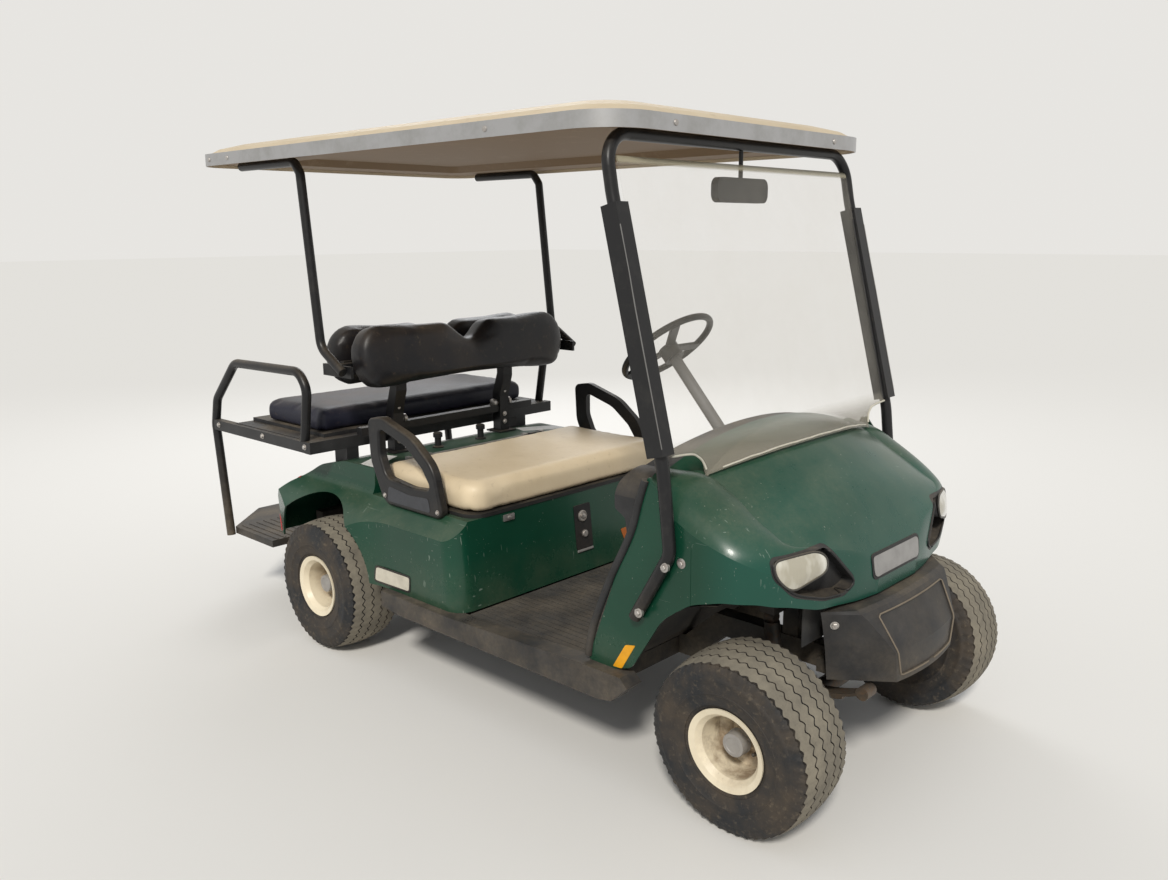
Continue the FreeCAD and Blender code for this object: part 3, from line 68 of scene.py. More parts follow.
class Shade:
    """A Principled material, with helpers for the nodes that vary its colour and relief."""

    def __init__(self, name, color, rough, metal=0.0):
        self.name = name
        self.material = bpy.data.materials.new(name)
        self.material.use_nodes = True
        self.nodes = self.material.node_tree.nodes
        self.links = self.material.node_tree.links
        self.shader = self.nodes["Principled BSDF"]
        set_inputs(self.shader, {"Base Color": (*color, 1), "Roughness": rough,
                                 "Metallic": metal, "Specular IOR Level": 0.3})
        self.place = self.add("ShaderNodeTexCoord").outputs["Object"]
        self.color = color
        self.rough = rough
        self.relief = None

    def add(self, kind, **settings):
        """A new node of a kind, with its own settings."""
        node = self.nodes.new(kind)
        for key, value in settings.items():
            setattr(node, key, value)
        return node

    def feed(self, value, socket):
        """Link an output to a socket, or set the socket's own value."""
        if isinstance(value, bpy.types.NodeSocket):
            self.links.new(value, socket)
        elif isinstance(value, tuple) and len(value) == 3 and len(socket.default_value) == 4:
            socket.default_value = (*value, 1)
        else:
            socket.default_value = value

    def grain(self, scale, detail=4.0, rough=0.55, stretch=(1, 1, 1)):
        """A noise from 0 to 1 at that many cells a metre."""
        place = self.place
        if stretch != (1, 1, 1):
            mapping = self.add("ShaderNodeMapping")
            set_inputs(mapping, {"Scale": stretch})
            self.links.new(place, mapping.inputs["Vector"])
            place = mapping.outputs["Vector"]
        node = self.add("ShaderNodeTexNoise")
        self.links.new(place, node.inputs["Vector"])
        set_inputs(node, {"Scale": scale, "Detail": detail, "Roughness": rough})
        return node.outputs["Fac"]

    def cells(self, scale):
        """The distance to the middle of the nearest cell, at that many cells a metre."""
        node = self.add("ShaderNodeTexVoronoi")
        self.links.new(self.place, node.inputs["Vector"])
        set_inputs(node, {"Scale": scale})
        return node.outputs["Distance"]

    def span(self, value, low, high, start=0.0, end=1.0):
        """Map low..high of a value to start..end, held at both ends."""
        node = self.add("ShaderNodeMapRange")
        self.feed(value, node.inputs["Value"])
        set_inputs(node, {"From Min": low, "From Max": high, "To Min": start, "To Max": end})
        return node.outputs["Result"]

    def sums(self, operation, a, b=0.0):
        """One sum of two values or outputs."""
        node = self.add("ShaderNodeMath", operation=operation)
        self.feed(a, node.inputs[0])
        self.feed(b, node.inputs[1])
        return node.outputs[0]

    def axis(self, letter):
        """One coordinate of the place on the object, in metres."""
        node = self.add("ShaderNodeSeparateXYZ")
        self.links.new(self.place, node.inputs[0])
        return node.outputs[letter]

    def facing(self):
        """How far the surface faces up, from -1 to 1."""
        normal = self.add("ShaderNodeTexCoord").outputs["Normal"]
        node = self.add("ShaderNodeSeparateXYZ")
        self.links.new(normal, node.inputs[0])
        return node.outputs["Z"]

    def cover(self, factor, color, rough=None):
        """Lay another colour over what is there, where the factor is high."""
        node = self.add("ShaderNodeMix", data_type="RGBA")
        self.feed(factor, node.inputs["Factor"])
        self.feed(self.color, node.inputs["A"])
        self.feed(color, node.inputs["B"])
        self.color = node.outputs["Result"]
        self.links.new(self.color, self.shader.inputs["Base Color"])
        if rough is not None:
            node = self.add("ShaderNodeMix", data_type="FLOAT")
            self.feed(factor, node.inputs["Factor"])
            self.feed(self.rough, node.inputs["A"])
            self.feed(rough, node.inputs["B"])
            self.rough = node.outputs["Result"]
            self.links.new(self.rough, self.shader.inputs["Roughness"])

    def emboss(self, height, distance, strength=1.0):
        """Relief from a height from 0 to 1 that stands for that many metres."""
        node = self.add("ShaderNodeBump")
        set_inputs(node, {"Strength": strength, "Distance": distance})
        self.feed(height, node.inputs["Height"])
        if self.relief is not None:
            self.links.new(self.relief, node.inputs["Normal"])
        self.relief = node.outputs["Normal"]
        self.links.new(self.relief, self.shader.inputs["Normal"])

    def patches(self, noise_scale, detail, rough, low, high, most, color, finish=None):
        """Lay a colour where a noise is high, from low to high of it, by most at the most."""
        factor = self.span(self.grain(noise_scale, detail, rough), low, high, 0.0, most)
        self.cover(factor, color, finish)

    def dust(self, top, low, reach=0.5, patch=5.0):
        """Dust that lies on what faces up, and clings up to a height in metres."""
        mottle = self.span(self.grain(patch, 6.0, 0.62), 0.34, 0.72)
        speck = self.span(self.grain(90, 3.0, 0.7), 0.35, 0.7, 0.55, 1.0)
        lying = self.span(self.facing(), 0.25, 1.0, 0.0, top)
        clinging = self.span(self.axis("Z"), 0.12, reach, low, 0.0)
        both = self.sums("MAXIMUM", lying, clinging)
        factor = self.sums("MULTIPLY", self.sums("MULTIPLY", both, mottle), speck)
        self.cover(factor, DUST, 0.92)

    def scratches(self, amount, color=(0.35, 0.42, 0.36)):
        """Fine pale lines in three directions."""
        for stretch in ((1, 9, 40), (30, 2, 5), (6, 26, 3)):
            line = self.span(self.grain(7.0, 2.0, 0.4, stretch), 0.735, 0.75, 0.0, amount)
            patch = self.span(self.grain(3.0, 2.0), 0.5, 0.62)
            self.cover(self.sums("MULTIPLY", line, patch), color, 0.6)


def green_body():
    """Dark green moulded plastic: glossy, paler on top with painted sunlight, scratched, dusty low
    down.
    """
    s = Shade("body_green", (0.0045, 0.040, 0.021), 0.26)
    set_inputs(s.shader, {"Coat Weight": 0.1, "Coat Roughness": 0.10})
    s.patches(2.2, 5, 0.55, 0.35, 0.7, 1.0, (0.006, 0.056, 0.031))
    front = s.span(s.axis("X"), 1.02, 1.12, 0.0, 0.8)
    s.cover(s.sums("MULTIPLY", front, s.span(s.grain(1.7, 3), 0.3, 0.7, 0.35, 1.0)),
            (0.011, 0.080, 0.058))
    # Painted sunlight: the faces that look up are made paler, as if lit.
    painted_top_light = s.sums("MULTIPLY", s.span(s.facing(), 0.35, 1.0, 0.0, 0.34),
                  s.span(s.grain(6.0, 7, 0.65), 0.3, 0.75, 0.25, 1.0))
    s.cover(painted_top_light, (0.036, 0.112, 0.074), 0.42)
    s.scratches(0.4)
    speck = s.span(s.grain(160, 2, 0.5), 0.72, 0.76, 0.0, 0.5)
    s.cover(s.sums("MULTIPLY", speck, s.span(s.grain(9, 2), 0.45, 0.6)), (0.5, 0.5, 0.42), 0.7)
    s.dust(0.2, 0.26, 0.46, 6.0)
    s.emboss(s.grain(420, 2), 0.00006)
    return s


def cream_roof():
    """Stained cream plastic, with painted shade that makes its underside browner."""
    s = Shade("roof_cream", (0.62, 0.52, 0.37), 0.55)
    s.patches(3, 6, 0.55, 0.3, 0.75, 1.0, (0.52, 0.42, 0.285))
    # Painted shade: the faces that look down are made dark brown.
    painted_underside_shade = s.span(s.facing(), 0.0, -0.6)
    s.cover(painted_underside_shade, (0.205, 0.135, 0.075), 0.65)
    s.patches(14, 6, 0.7, 0.56, 0.78, 0.45, (0.36, 0.28, 0.19), 0.7)
    s.emboss(s.grain(700, 3), 0.00008)
    return s


def brushed_band():
    """Dull brushed aluminium."""
    s = Shade("band_aluminium", (0.47, 0.47, 0.475), 0.36, 1.0)
    s.patches(9, 6, 0.7, 0.45, 0.75, 0.6, (0.32, 0.315, 0.30), 0.55)
    s.emboss(s.grain(60, 3, 0.6, (0.4, 0.4, 60)), 0.0001)
    return s


def vinyl(name, color, worn, rough, dust):
    """Grained vinyl, paler or browner where it is worn."""
    s = Shade(name, color, rough)
    s.patches(5, 5, 0.6, 0.42, 0.75, 0.75, worn, rough + 0.08)
    s.patches(40, 4, 0.7, 0.6, 0.8, 0.3, MUD, 0.7)
    s.dust(dust, 0.0)
    s.emboss(s.cells(620), 0.00016)
    s.emboss(s.grain(34, 4), 0.0008, 0.35)
    return s


def tan_vinyl():
    """Tan vinyl with brown stains."""
    s = vinyl("seat_tan", (0.74, 0.61, 0.42), (0.66, 0.53, 0.345), 0.4, 0.0)
    s.patches(7, 6, 0.7, 0.58, 0.82, 0.45, (0.50, 0.38, 0.23), 0.6)
    return s


def coated_tube():
    """Black powder coat with rust and bare steel where it is chipped."""
    s = Shade("tube_black", (0.012, 0.012, 0.013), 0.34)
    s.patches(20, 5, 0.7, 0.5, 0.75, 0.5, (0.035, 0.033, 0.03), 0.5)
    s.patches(75, 5, 0.8, 0.7, 0.74, 0.75, (0.26, 0.2, 0.15), 0.6)
    s.dust(0.3, 0.5, 0.62)
    s.emboss(s.grain(350, 3), 0.00012)
    return s


def dusty_black(name, color, rough, top, low):
    """Black plastic, rubber or paint, scuffed and dusty."""
    s = Shade(name, color, rough)
    s.patches(11, 5, 0.65, 0.4, 0.75, 0.6, tuple(c * 1.9 + 0.008 for c in color), rough + 0.1)
    s.scratches(0.3, (0.2, 0.18, 0.15))
    s.dust(top, low, 0.62, 6.0)
    s.emboss(s.grain(260, 3), 0.00018)
    return s


def tyre_rubber():
    """Black rubber with brown patches of dried mud."""
    s = Shade("tyre_rubber", (0.020, 0.021, 0.023), 0.6)
    s.patches(8, 5, 0.62, 0.40, 0.66, 0.75, (0.078, 0.060, 0.043), 0.85)
    s.patches(70, 5, 0.7, 0.55, 0.85, 0.3, DUST, 0.95)
    s.emboss(s.grain(240, 4), 0.0005)
    return s


def tread_rubber():
    """Rubber that is caked with pale dust."""
    s = Shade("tread_rubber", (0.165, 0.148, 0.118), 0.85)
    s.patches(14, 6, 0.7, 0.35, 0.7, 1.0, (0.265, 0.235, 0.18), 0.95)
    s.patches(110, 3, 0.7, 0.58, 0.78, 0.5, (0.075, 0.066, 0.055), 0.85)
    s.emboss(s.grain(180, 4), 0.0008)
    return s


def cream_rim():
    """Cream paint, brown in the rim's hollow from dirt and painted shade, and rusty where it is
    chipped.
    """
    s = Shade("rim_cream", (0.78, 0.69, 0.52), 0.34)
    s.patches(12, 6, 0.7, 0.5, 0.78, 0.5, (0.50, 0.39, 0.25), 0.6)
    # Towards the hub the hollow is made brown: partly dirt, partly painted shade.
    hollow_dirt_and_shade = s.span(s.sums("ABSOLUTE", s.axis("Y")), 0.545, 0.50)
    s.cover(s.sums("MULTIPLY", hollow_dirt_and_shade, s.span(s.grain(9, 5, 0.7), 0.42, 0.62, 0.0, 0.8)),
            (0.20, 0.125, 0.07), 0.75)
    s.patches(70, 5, 0.8, 0.66, 0.74, 0.8, (0.16, 0.08, 0.04), 0.8)
    s.emboss(s.grain(120, 3), 0.0002)
    return s


def steel(name, color, rough, rust):
    """Bare metal with a share of rust."""
    s = Shade(name, color, rough, 0.75)
    s.patches(45, 6, 0.75, 0.45, 0.7, rust, (0.13, 0.065, 0.032), 0.85)
    s.dust(0.4, 0.6, 0.6)
    s.emboss(s.grain(160, 4), 0.0003)
    return s


def clear_sheet():
    """Scuffed clear plastic: hazy near its lower edge and along its bends."""
    s = Shade("shield_clear", (0.66, 0.62, 0.54), 0.12)
    haze = s.span(s.axis("Z"), 0.925, 0.87, 0.055, 0.50)
    bend = s.span(s.axis("Z"), 1.560, 1.568, 0.0, 0.7)
    smear = s.span(s.grain(5, 6, 0.6), 0.4, 0.8, 0.0, 0.06)
    alpha = s.sums("ADD", s.sums("MAXIMUM", haze, bend), smear)
    s.links.new(alpha, s.shader.inputs["Alpha"])
    s.cover(s.span(s.axis("Z"), 0.93, 0.885, 0.0, 0.85), (0.26, 0.235, 0.18), 0.3)
    s.cover(s.span(s.axis("Z"), 1.555, 1.565), (0.44, 0.40, 0.29), 0.4)
    return s


def lamp_glass():
    """A glossy lens with upright flutes and pale patches of painted highlight."""
    s = Shade("lamp_clear", (0.40, 0.37, 0.29), 0.14)
    # Pale patches of painted highlight on the lens.
    s.cover(s.span(s.grain(18, 3, 0.5, (1, 1, 0.4)), 0.42, 0.62), (0.70, 0.68, 0.60))
    s.emboss(s.grain(40, 1, 0.4, (1, 5, 0.3)), 0.0015, 0.6)
    set_inputs(s.shader, {"Coat Weight": 1.0, "Coat Roughness": 0.04})
    return s


def plain(name, color, rough, patch, dust, metal=0.0):
    """One colour with darker patches and some dust."""
    s = Shade(name, color, rough, metal)
    s.patches(patch, 5, 0.65, 0.4, 0.75, 0.55, tuple(c * 0.62 for c in color), min(1.0, rough + 0.12))
    s.dust(dust, 0.3)
    s.emboss(s.grain(300, 2), 0.0001)
    return s


SHADES = {shade.name: shade for shade in (
    green_body(),
    cream_roof(),
    brushed_band(),
    tan_vinyl(),
    vinyl("back_black", (0.011, 0.011, 0.013), (0.032, 0.024, 0.019), 0.34, 0.1),
    vinyl("seat_navy", (0.014, 0.015, 0.028), (0.04, 0.041, 0.06), 0.42, 0.25),
    coated_tube(),
    dusty_black("trim_plastic", (0.022, 0.022, 0.023), 0.5, 0.4, 0.42),
    dusty_black("deck_black", (0.022, 0.022, 0.023), 0.5, 0.4, 0.3),
    dusty_black("mat_rubber", (0.036, 0.035, 0.034), 0.75, 0.26, 0.15),
    dusty_black("floor_black", (0.025, 0.025, 0.025), 0.6, 0.5, 0.4),
    dusty_black("frame_black", (0.02, 0.02, 0.02), 0.55, 0.4, 0.55),
    dusty_black("seat_board_black", (0.014, 0.014, 0.014), 0.5, 0.2, 0.1),
    dusty_black("battery_case", (0.03, 0.03, 0.03), 0.55, 0.3, 0.2),
    tyre_rubber(),
    tread_rubber(),
    cream_rim(),
    steel("axle_steel", (0.05, 0.047, 0.044), 0.55, 0.7),
    steel("spring_steel", (0.12, 0.10, 0.085), 0.5, 0.85),
    steel("hinge_steel", (0.36, 0.35, 0.34), 0.4, 0.3),
    steel("bolt_steel", (0.46, 0.44, 0.42), 0.35, 0.35),
    plain("column_grey", (0.17, 0.165, 0.16), 0.5, 18, 0.5),
    plain("wheel_rubber", (0.016, 0.016, 0.017), 0.42, 30, 0.3),
    plain("mirror_black", (0.015, 0.015, 0.016), 0.4, 30, 0.3),
    plain("mirror_glass", (0.55, 0.56, 0.58), 0.05, 5, 0.1, 1.0),
    clear_sheet(),
    lamp_glass(),
    plain("lamp_red", (0.42, 0.012, 0.018), 0.18, 12, 0.2),
    plain("lamp_amber", (0.84, 0.38, 0.01), 0.3, 20, 0.1),
    plain("lamp_orange", (0.50, 0.13, 0.02), 0.35, 20, 0.1),
    plain("lamp_bowl", (0.055, 0.052, 0.046), 0.4, 14, 0.5),
    plain("cap_grey", (0.34, 0.33, 0.32), 0.45, 24, 0.2, 0.3),
    plain("plate_pale", (0.62, 0.58, 0.48), 0.45, 20, 0.15),
    plain("label_white", (0.78, 0.77, 0.74), 0.5, 20, 0.1),
    plain("seam_dust", (0.20, 0.165, 0.125), 0.85, 40, 0.3),
    plain("cap_dark", (0.055, 0.057, 0.064), 0.5, 30, 0.2),
    plain("edge_haze", (0.60, 0.57, 0.48), 0.45, 40, 0.1),
)}

BODY_OF = {}
for body, members in frame["record"]["behaviour"]["bodies"].items():
    for member in members:
        BODY_OF[member] = body


def dress(obj, shade):
    """Give an object one material."""
    obj.data.materials.clear()
    obj.data.materials.append(SHADES[shade].material)


def dress_nodes():
    """Every solid that stays in view takes the finish that its record slot names."""
    for row in frame["record"]["subparts"]:
        obj = NODES[row["node"]]
        slots = len(obj.data.materials)
        material = SHADES[row["material_slot"]].material
        if slots == 0:
            obj.data.materials.append(material)
        for index in range(slots):
            obj.data.materials[index] = material


# Mesh helpers

def add_object(name, data):
    """An object of some data, linked to the scene."""
    obj = bpy.data.objects.new(name, data)
    bpy.context.scene.collection.objects.link(obj)
    return obj


def piece(name, vertices, faces, shade, body="cart_body"):
    """A mesh object that wears a shade and rides on a body, if one is given."""
    data = bpy.data.meshes.new(name)
    data.from_pydata([tuple(v) for v in vertices], [], faces)
    data.validate()
    obj = add_object(name, data)
    data.shade_smooth()
    dress(obj, shade)
    if body:
        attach(obj, body)
    return obj


def auto_smooth(obj, angle):
    """Smooth shading with the edges above an angle kept sharp."""
    data = obj.data
    data.shade_smooth()
    bm = bmesh.new()
    bm.from_mesh(data)
    limit = math.radians(angle)
    for edge in bm.edges:
        if len(edge.link_faces) == 2 and edge.calc_face_angle(0.0) > limit:
            edge.smooth = False
    bm.to_mesh(data)
    bm.free()
    return obj


def turn_outward(obj, way=None):
    """Turn the faces outwards. With a way, the first face that it meets looks back along it."""
    bm = bmesh.new()
    bm.from_mesh(obj.data)
    bmesh.ops.recalc_face_normals(bm, faces=bm.faces)
    if way:
        nearest = max(bm.faces, key=lambda f: -f.calc_center_median().dot(way))
        if nearest.normal.dot(way) > 0:
            bmesh.ops.reverse_faces(bm, faces=bm.faces)
    bm.to_mesh(obj.data)
    bm.free()


def ring_faces(rings, count):
    """Four-sided faces between closed rings of that many points each."""
    faces = []
    for ring in range(rings - 1):
        here, beyond = ring * count, (ring + 1) * count
        for i in range(count):
            j = (i + 1) % count
            faces.append((here + i, here + j, beyond + j, beyond + i))
    return faces


class Builder:
    """Collects simple forms into one mesh."""

    def __init__(self):
        self.vertices = []
        self.faces = []

    def put(self, vertices, faces):
        """Add a form, its faces counted from its own first vertex."""
        base = len(self.vertices)
        self.vertices += [Vector(v) for v in vertices]
        self.faces += [tuple(i + base for i in face) for face in faces]

    def disc_stack(self, place, normal, rings, sides):
        """Rings of (radius, height) about an axis, closed at both ends."""
        spin = Vector(normal).normalized().to_track_quat("Z", "Y")
        place = Vector(place)
        points = []
        for radius, height in rings:
            for i in range(sides):
                a = 2 * math.pi * i / sides
                arm = Vector((radius * math.cos(a), radius * math.sin(a), height))
                points.append(place + spin @ arm)
        faces = ring_faces(len(rings), sides)
        faces.append(tuple(reversed(range(sides))))
        faces.append(tuple((len(rings) - 1) * sides + i for i in range(sides)))
        self.put(points, faces)

    def hex_bolt(self, place, normal, radius):
        """A hexagon head on a round washer."""
        brim = radius * 1.35
        self.disc_stack(place, normal, ((brim, 0), (brim, radius * 0.2), (radius, radius * 0.24)), 20)
        self.disc_stack(place, normal, (
            (radius, radius * 0.2), (radius, radius * 0.75), (radius * 0.82, radius * 0.9)), 6)

    def dome(self, place, normal, radius):
        """A low round screw head."""
        tall = radius * 0.45
        self.disc_stack(place, normal, (
            (radius, -0.001), (radius, radius * 0.1), (radius * 0.85, tall * 0.7),
            (radius * 0.5, tall * 0.95), (radius * 0.1, tall)), 18)

    def slab(self, corner_low, corner_high, bevel=0.0):
        """A box, its edges chamfered where a bevel is given."""
        bm = bmesh.new()
        bmesh.ops.create_cube(bm, size=1.0)
        low, high = Vector(corner_low), Vector(corner_high)
        for v in bm.verts:
            v.co = Vector([low[k] if v.co[k] < 0 else high[k] for k in range(3)])
        if bevel:
            bmesh.ops.bevel(bm, geom=list(bm.edges), offset=bevel, segments=2, affect="EDGES",
                            profile=0.6)
        bm.verts.ensure_lookup_table()
        self.put([v.co.copy() for v in bm.verts], [tuple(v.index for v in f.verts) for f in bm.faces])
        bm.free()

    def make(self, name, shade, body="cart_body", angle=35):
        """The mesh object of all that was put in."""
        return auto_smooth(piece(name, self.vertices, self.faces, shade, body), angle)


def tube(name, points, radius, shade, closed=False, sides=10, turns=6, body="cart_body"):
    """A round bar along points, its corners rounded by a smooth curve."""
    curve = bpy.data.curves.new(name, "CURVE")
    curve.dimensions = "3D"
    curve.bevel_depth = radius
    curve.bevel_resolution = max(1, sides // 4)
    curve.use_fill_caps = True
    curve.resolution_u = turns
    line = curve.splines.new("NURBS")
    line.points.add(len(points) - 1)
    for point, place in zip(line.points, points):
        point.co = (*place, 1)
    line.order_u = 3
    line.use_endpoint_u = not closed
    line.use_cyclic_u = closed
    holder = add_object(name + "_line", curve)
    data = bpy.data.meshes.new_from_object(holder)
    data.name = name
    bpy.data.objects.remove(holder)
    obj = add_object(name, data)
    data.shade_smooth()
    dress(obj, shade)
    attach(obj, body)


# Places on the solids

# FRONT_AXLE and BACK_OFF, the way that rays start off a solid, are in metres.
# The other places are millimetres from the front axle, the middle or the ground.
FRONT_AXLE = 1.117
REAR_AXLE = -1668
SEAT_BASE_TOP = 566
SHELF_TOP = 650
BACKWARD = (-1, 0, 0)
FLANK = 560
OUTSIDE = 640
BACK_OFF = 0.2
TREES = {}


def spot(ahead, across, up):
    """A place in millimetres ahead of the front axle, across to the left and up."""
    return Vector((FRONT_AXLE + ahead * MM, across * MM, up * MM))


def hit(node, start, way):
    """Where a ray meets a solid, and the surface's normal there."""
    if node not in TREES:
        obj = NODES[node]
        corners = [obj.matrix_world @ v.co for v in obj.data.vertices]
        TREES[node] = BVHTree.FromPolygons(corners, [tuple(f.vertices) for f in obj.data.polygons])
    place, normal, _, _ = TREES[node].ray_cast(Vector(start), Vector(way))
    if place is None:
        raise RuntimeError("no surface of %s beyond %s" % (node, tuple(start)))
    return place, normal


def rounded(corners, reach, steps=4):
    """A closed outline with curved corners: their reach along each side, and their steps."""
    points = []
    count = len(corners)
    for index, corner in enumerate(corners):
        here = Vector(corner)
        back = Vector(corners[index - 1]) - here
        ahead = Vector(corners[(index + 1) % count]) - here
        start = here + back.normalized() * min(reach, back.length * 0.45)
        end = here + ahead.normalized() * min(reach, ahead.length * 0.45)
        for k in range(steps + 1):
            t = k / steps
            points.append(start * (1 - t) ** 2 + here * (2 * t * (1 - t)) + end * t ** 2)
    return points


def laid(name, node, outline, way, lift, shade, rings=4, thick=0.0015):
    """A thin plate in the shape of an outline, laid on a solid along a way and lifted off it."""
    way = Vector(way).normalized()
    centre = sum(outline, Vector()) / len(outline)
    count = len(outline)
    vertices = []
    for ring in range(rings):
        share = 1 - ring / rings
        for point in outline:
            place, _ = hit(node, centre + (point - centre) * share - way * BACK_OFF, way)
            vertices.append(place - way * lift)
    place, _ = hit(node, centre - way * BACK_OFF, way)
    vertices.append(place - way * lift)
    faces = ring_faces(rings, count)
    last = (rings - 1) * count
    for i in range(count):
        faces.append((last + i, last + (i + 1) % count, len(vertices) - 1))
    base = len(vertices)
    vertices += [v + way * (lift + thick) for v in vertices[:count]]
    for i in range(count):
        j = (i + 1) % count
        faces.append((base + i, base + j, j, i))
    obj = piece(name, vertices, faces, shade)
    turn_outward(obj, way)
    auto_smooth(obj, 40)


def front_plate(name, node, corners, curve, ahead, lift, shade, rings=4):
    """A plate on a face that looks forward. Its corners are places across and up."""
    outline = [spot(ahead, across, up) for across, up in rounded(corners, *curve)]
    laid(name, node, outline, BACKWARD, lift, shade, rings)


def side_plate(name, node, corners, curve, side, lift, shade):
    """A plate on a face that looks to a side. Its corners are places ahead and up."""
    outline = [spot(ahead, side * FLANK, up) for ahead, up in rounded(corners, *curve)]
    laid(name, node, outline, (0, -side, 0), lift, shade)


# Wheels

# In metres from the wheel's centre. CROWN is the radius of the tread's arch.
TYRE_RADIUS = 0.225
TREAD_HALF = 0.084
CROWN = 0.392
PITCHES = 52
WAVE = (0.0, 0.8, 1.0, 0.0, -0.8, -1.0)
ZIG = 0.0045
GROOVES = (-0.052, -0.018, 0.018, 0.052)
GROOVE_BRIM = 0.0022
GROOVE_FLOOR = 0.0014
GROOVE_DEPTH = 0.0055
LEDGE_WIDTH = 0.0010
LEDGE_DEPTH = 0.0050
EDGE_WEAR = 0.0006
SHOULDER_ZIG = 0.35
NOTCH_DEPTH = 0.0022
DIMPLE_DEPTH = 0.0012
BEAD_RADIUS = 0.0949
BEAD_HALF = 0.0755
# A side wall's rings, from the bead out, as (place across, radius)
WALL = (
    (-0.0755, 0.0955), (-0.0795, 0.0996), (-0.0868, 0.1075), (-0.0905, 0.1150), (-0.0935, 0.1156),
    (-0.0978, 0.1305), (-0.0998, 0.1440), (-0.1012, 0.1452), (-0.1014, 0.1484), (-0.1003, 0.1496),
    (-0.1013, 0.1640), (-0.1012, 0.1770), (-0.1020, 0.1786), (-0.0998, 0.1876), (-0.0980, 0.1890))
# The serrated shoulder's rings, as (place across, radius, zigzag share)
SHOULDER = (
    (-0.0962, 0.1985, 0.3), (-0.0945, 0.2035, 0.8), (-0.0912, 0.2100, 1.0), (-0.0885, 0.2136, 1.0))
# Degrees by which the front wheels lean
WHEEL_LEAN = 3.5
CAP_SEAT = 0.0262
NUT_CIRCLE = 0.0508
NUT_SEAT = 0.0175


def crown_radius_at(w):
    """The radius of the arched tread at a place across the tyre."""
    return TYRE_RADIUS - (CROWN - math.sqrt(CROWN * CROWN - w * w))


def tread_rows():
    """Rows across a tyre, as (place across, radius, zigzag share, part)."""
    side = [(w, r, 0, "wall") for w, r in WALL]
    side += [(w, r, share, "edge") for w, r, share in SHOULDER]
    rows = list(side)
    rim = crown_radius_at(TREAD_HALF)
    rows.append((-TREAD_HALF - LEDGE_WIDTH, rim - LEDGE_DEPTH, 1, "groove"))
    rows.append((-TREAD_HALF, rim - EDGE_WEAR, 1, "tread"))
    last = -TREAD_HALF
    for centre in GROOVES:
        middle = (last + centre) / 2
        top = crown_radius_at(centre)
        rows.append((middle, crown_radius_at(middle), 0.6, "tread"))
        rows.append((centre - GROOVE_BRIM, top, 1, "tread"))
        rows.append((centre - GROOVE_FLOOR, top - GROOVE_DEPTH, 1, "groove"))
        rows.append((centre + GROOVE_FLOOR, top - GROOVE_DEPTH, 1, "groove"))
        rows.append((centre + GROOVE_BRIM, top, 1, "tread"))
        last = centre
    middle = (last + TREAD_HALF) / 2
    rows.append((middle, crown_radius_at(middle), 0.6, "tread"))
    rows.append((TREAD_HALF, rim - EDGE_WEAR, 1, "tread"))
    rows.append((TREAD_HALF + LEDGE_WIDTH, rim - LEDGE_DEPTH, 1, "groove"))
    rows += [(-w, r, share, part) for w, r, share, part in reversed(side)]
    return rows


def make_tyre(node):
    """A worn road tyre: zigzag grooves, serrated shoulders and ringed side walls."""
    rows = tread_rows()
    around = PITCHES * len(WAVE)
    vertices = []
    faces = []
    kinds = []
    for index in range(around):
        angle = 2 * math.pi * index / around
        phase = index % len(WAVE)
        for w, r, share, part in rows:
            shift = WAVE[phase] * ZIG * share
            if part == "edge":
                shift *= SHOULDER_ZIG
                r = r - (NOTCH_DEPTH if phase in (0, 3) else 0.0) * share
            if part == "tread" and share < 1 and phase == 1:
                r = r - DIMPLE_DEPTH
            radius = min(r, crown_radius_at(min(abs(w + shift), 0.2)))
            vertices.append((radius * math.sin(angle), w + shift, radius * math.cos(angle)))
    count = len(rows)
    for index in range(around):
        here, ahead = index * count, (index + 1) % around * count
        for k in range(count - 1):
            faces.append((here + k, here + k + 1, ahead + k + 1, ahead + k))
            kinds.append(int(rows[k][3] == "tread" and rows[k + 1][3] == "tread"))
    base = len(vertices)
    for index in range(around):
        angle = 2 * math.pi * index / around
        for w in (-BEAD_HALF, BEAD_HALF):
            vertices.append((BEAD_RADIUS * math.sin(angle), w, BEAD_RADIUS * math.cos(angle)))
    for index in range(around):
        follower = (index + 1) % around
        here, ahead = index * count, follower * count
        bead, bead_ahead = base + index * 2, base + follower * 2
        faces.append((bead, bead + 1, bead_ahead + 1, bead_ahead))
        faces.append((bead, here, ahead, bead_ahead))
        faces.append((bead + 1, here + count - 1, ahead + count - 1, bead_ahead + 1))
        kinds += [0, 0, 0]
    obj = piece(node + "_tread", vertices, faces, "tyre_rubber", None)
    obj.data.materials.append(SHADES["tread_rubber"].material)
    for polygon, kind in zip(obj.data.polygons, kinds):
        polygon.material_index = kind
    turn_outward(obj)
    auto_smooth(obj, 42)
    low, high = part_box(node)
    centre = (low + high) / 2
    obj.data.transform(Matrix.Translation(centre) @ wheel_lean(node))
    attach(obj, BODY_OF[node])
    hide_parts(node)


def wheel_lean(node):
    """The rotation of a wheel's axle from the Y axis."""
    lean = math.radians(WHEEL_LEAN) if "front" in node else 0.0
    side = 1 if "left" in node else -1
    return Matrix.Rotation(-side * lean, 4, "X")


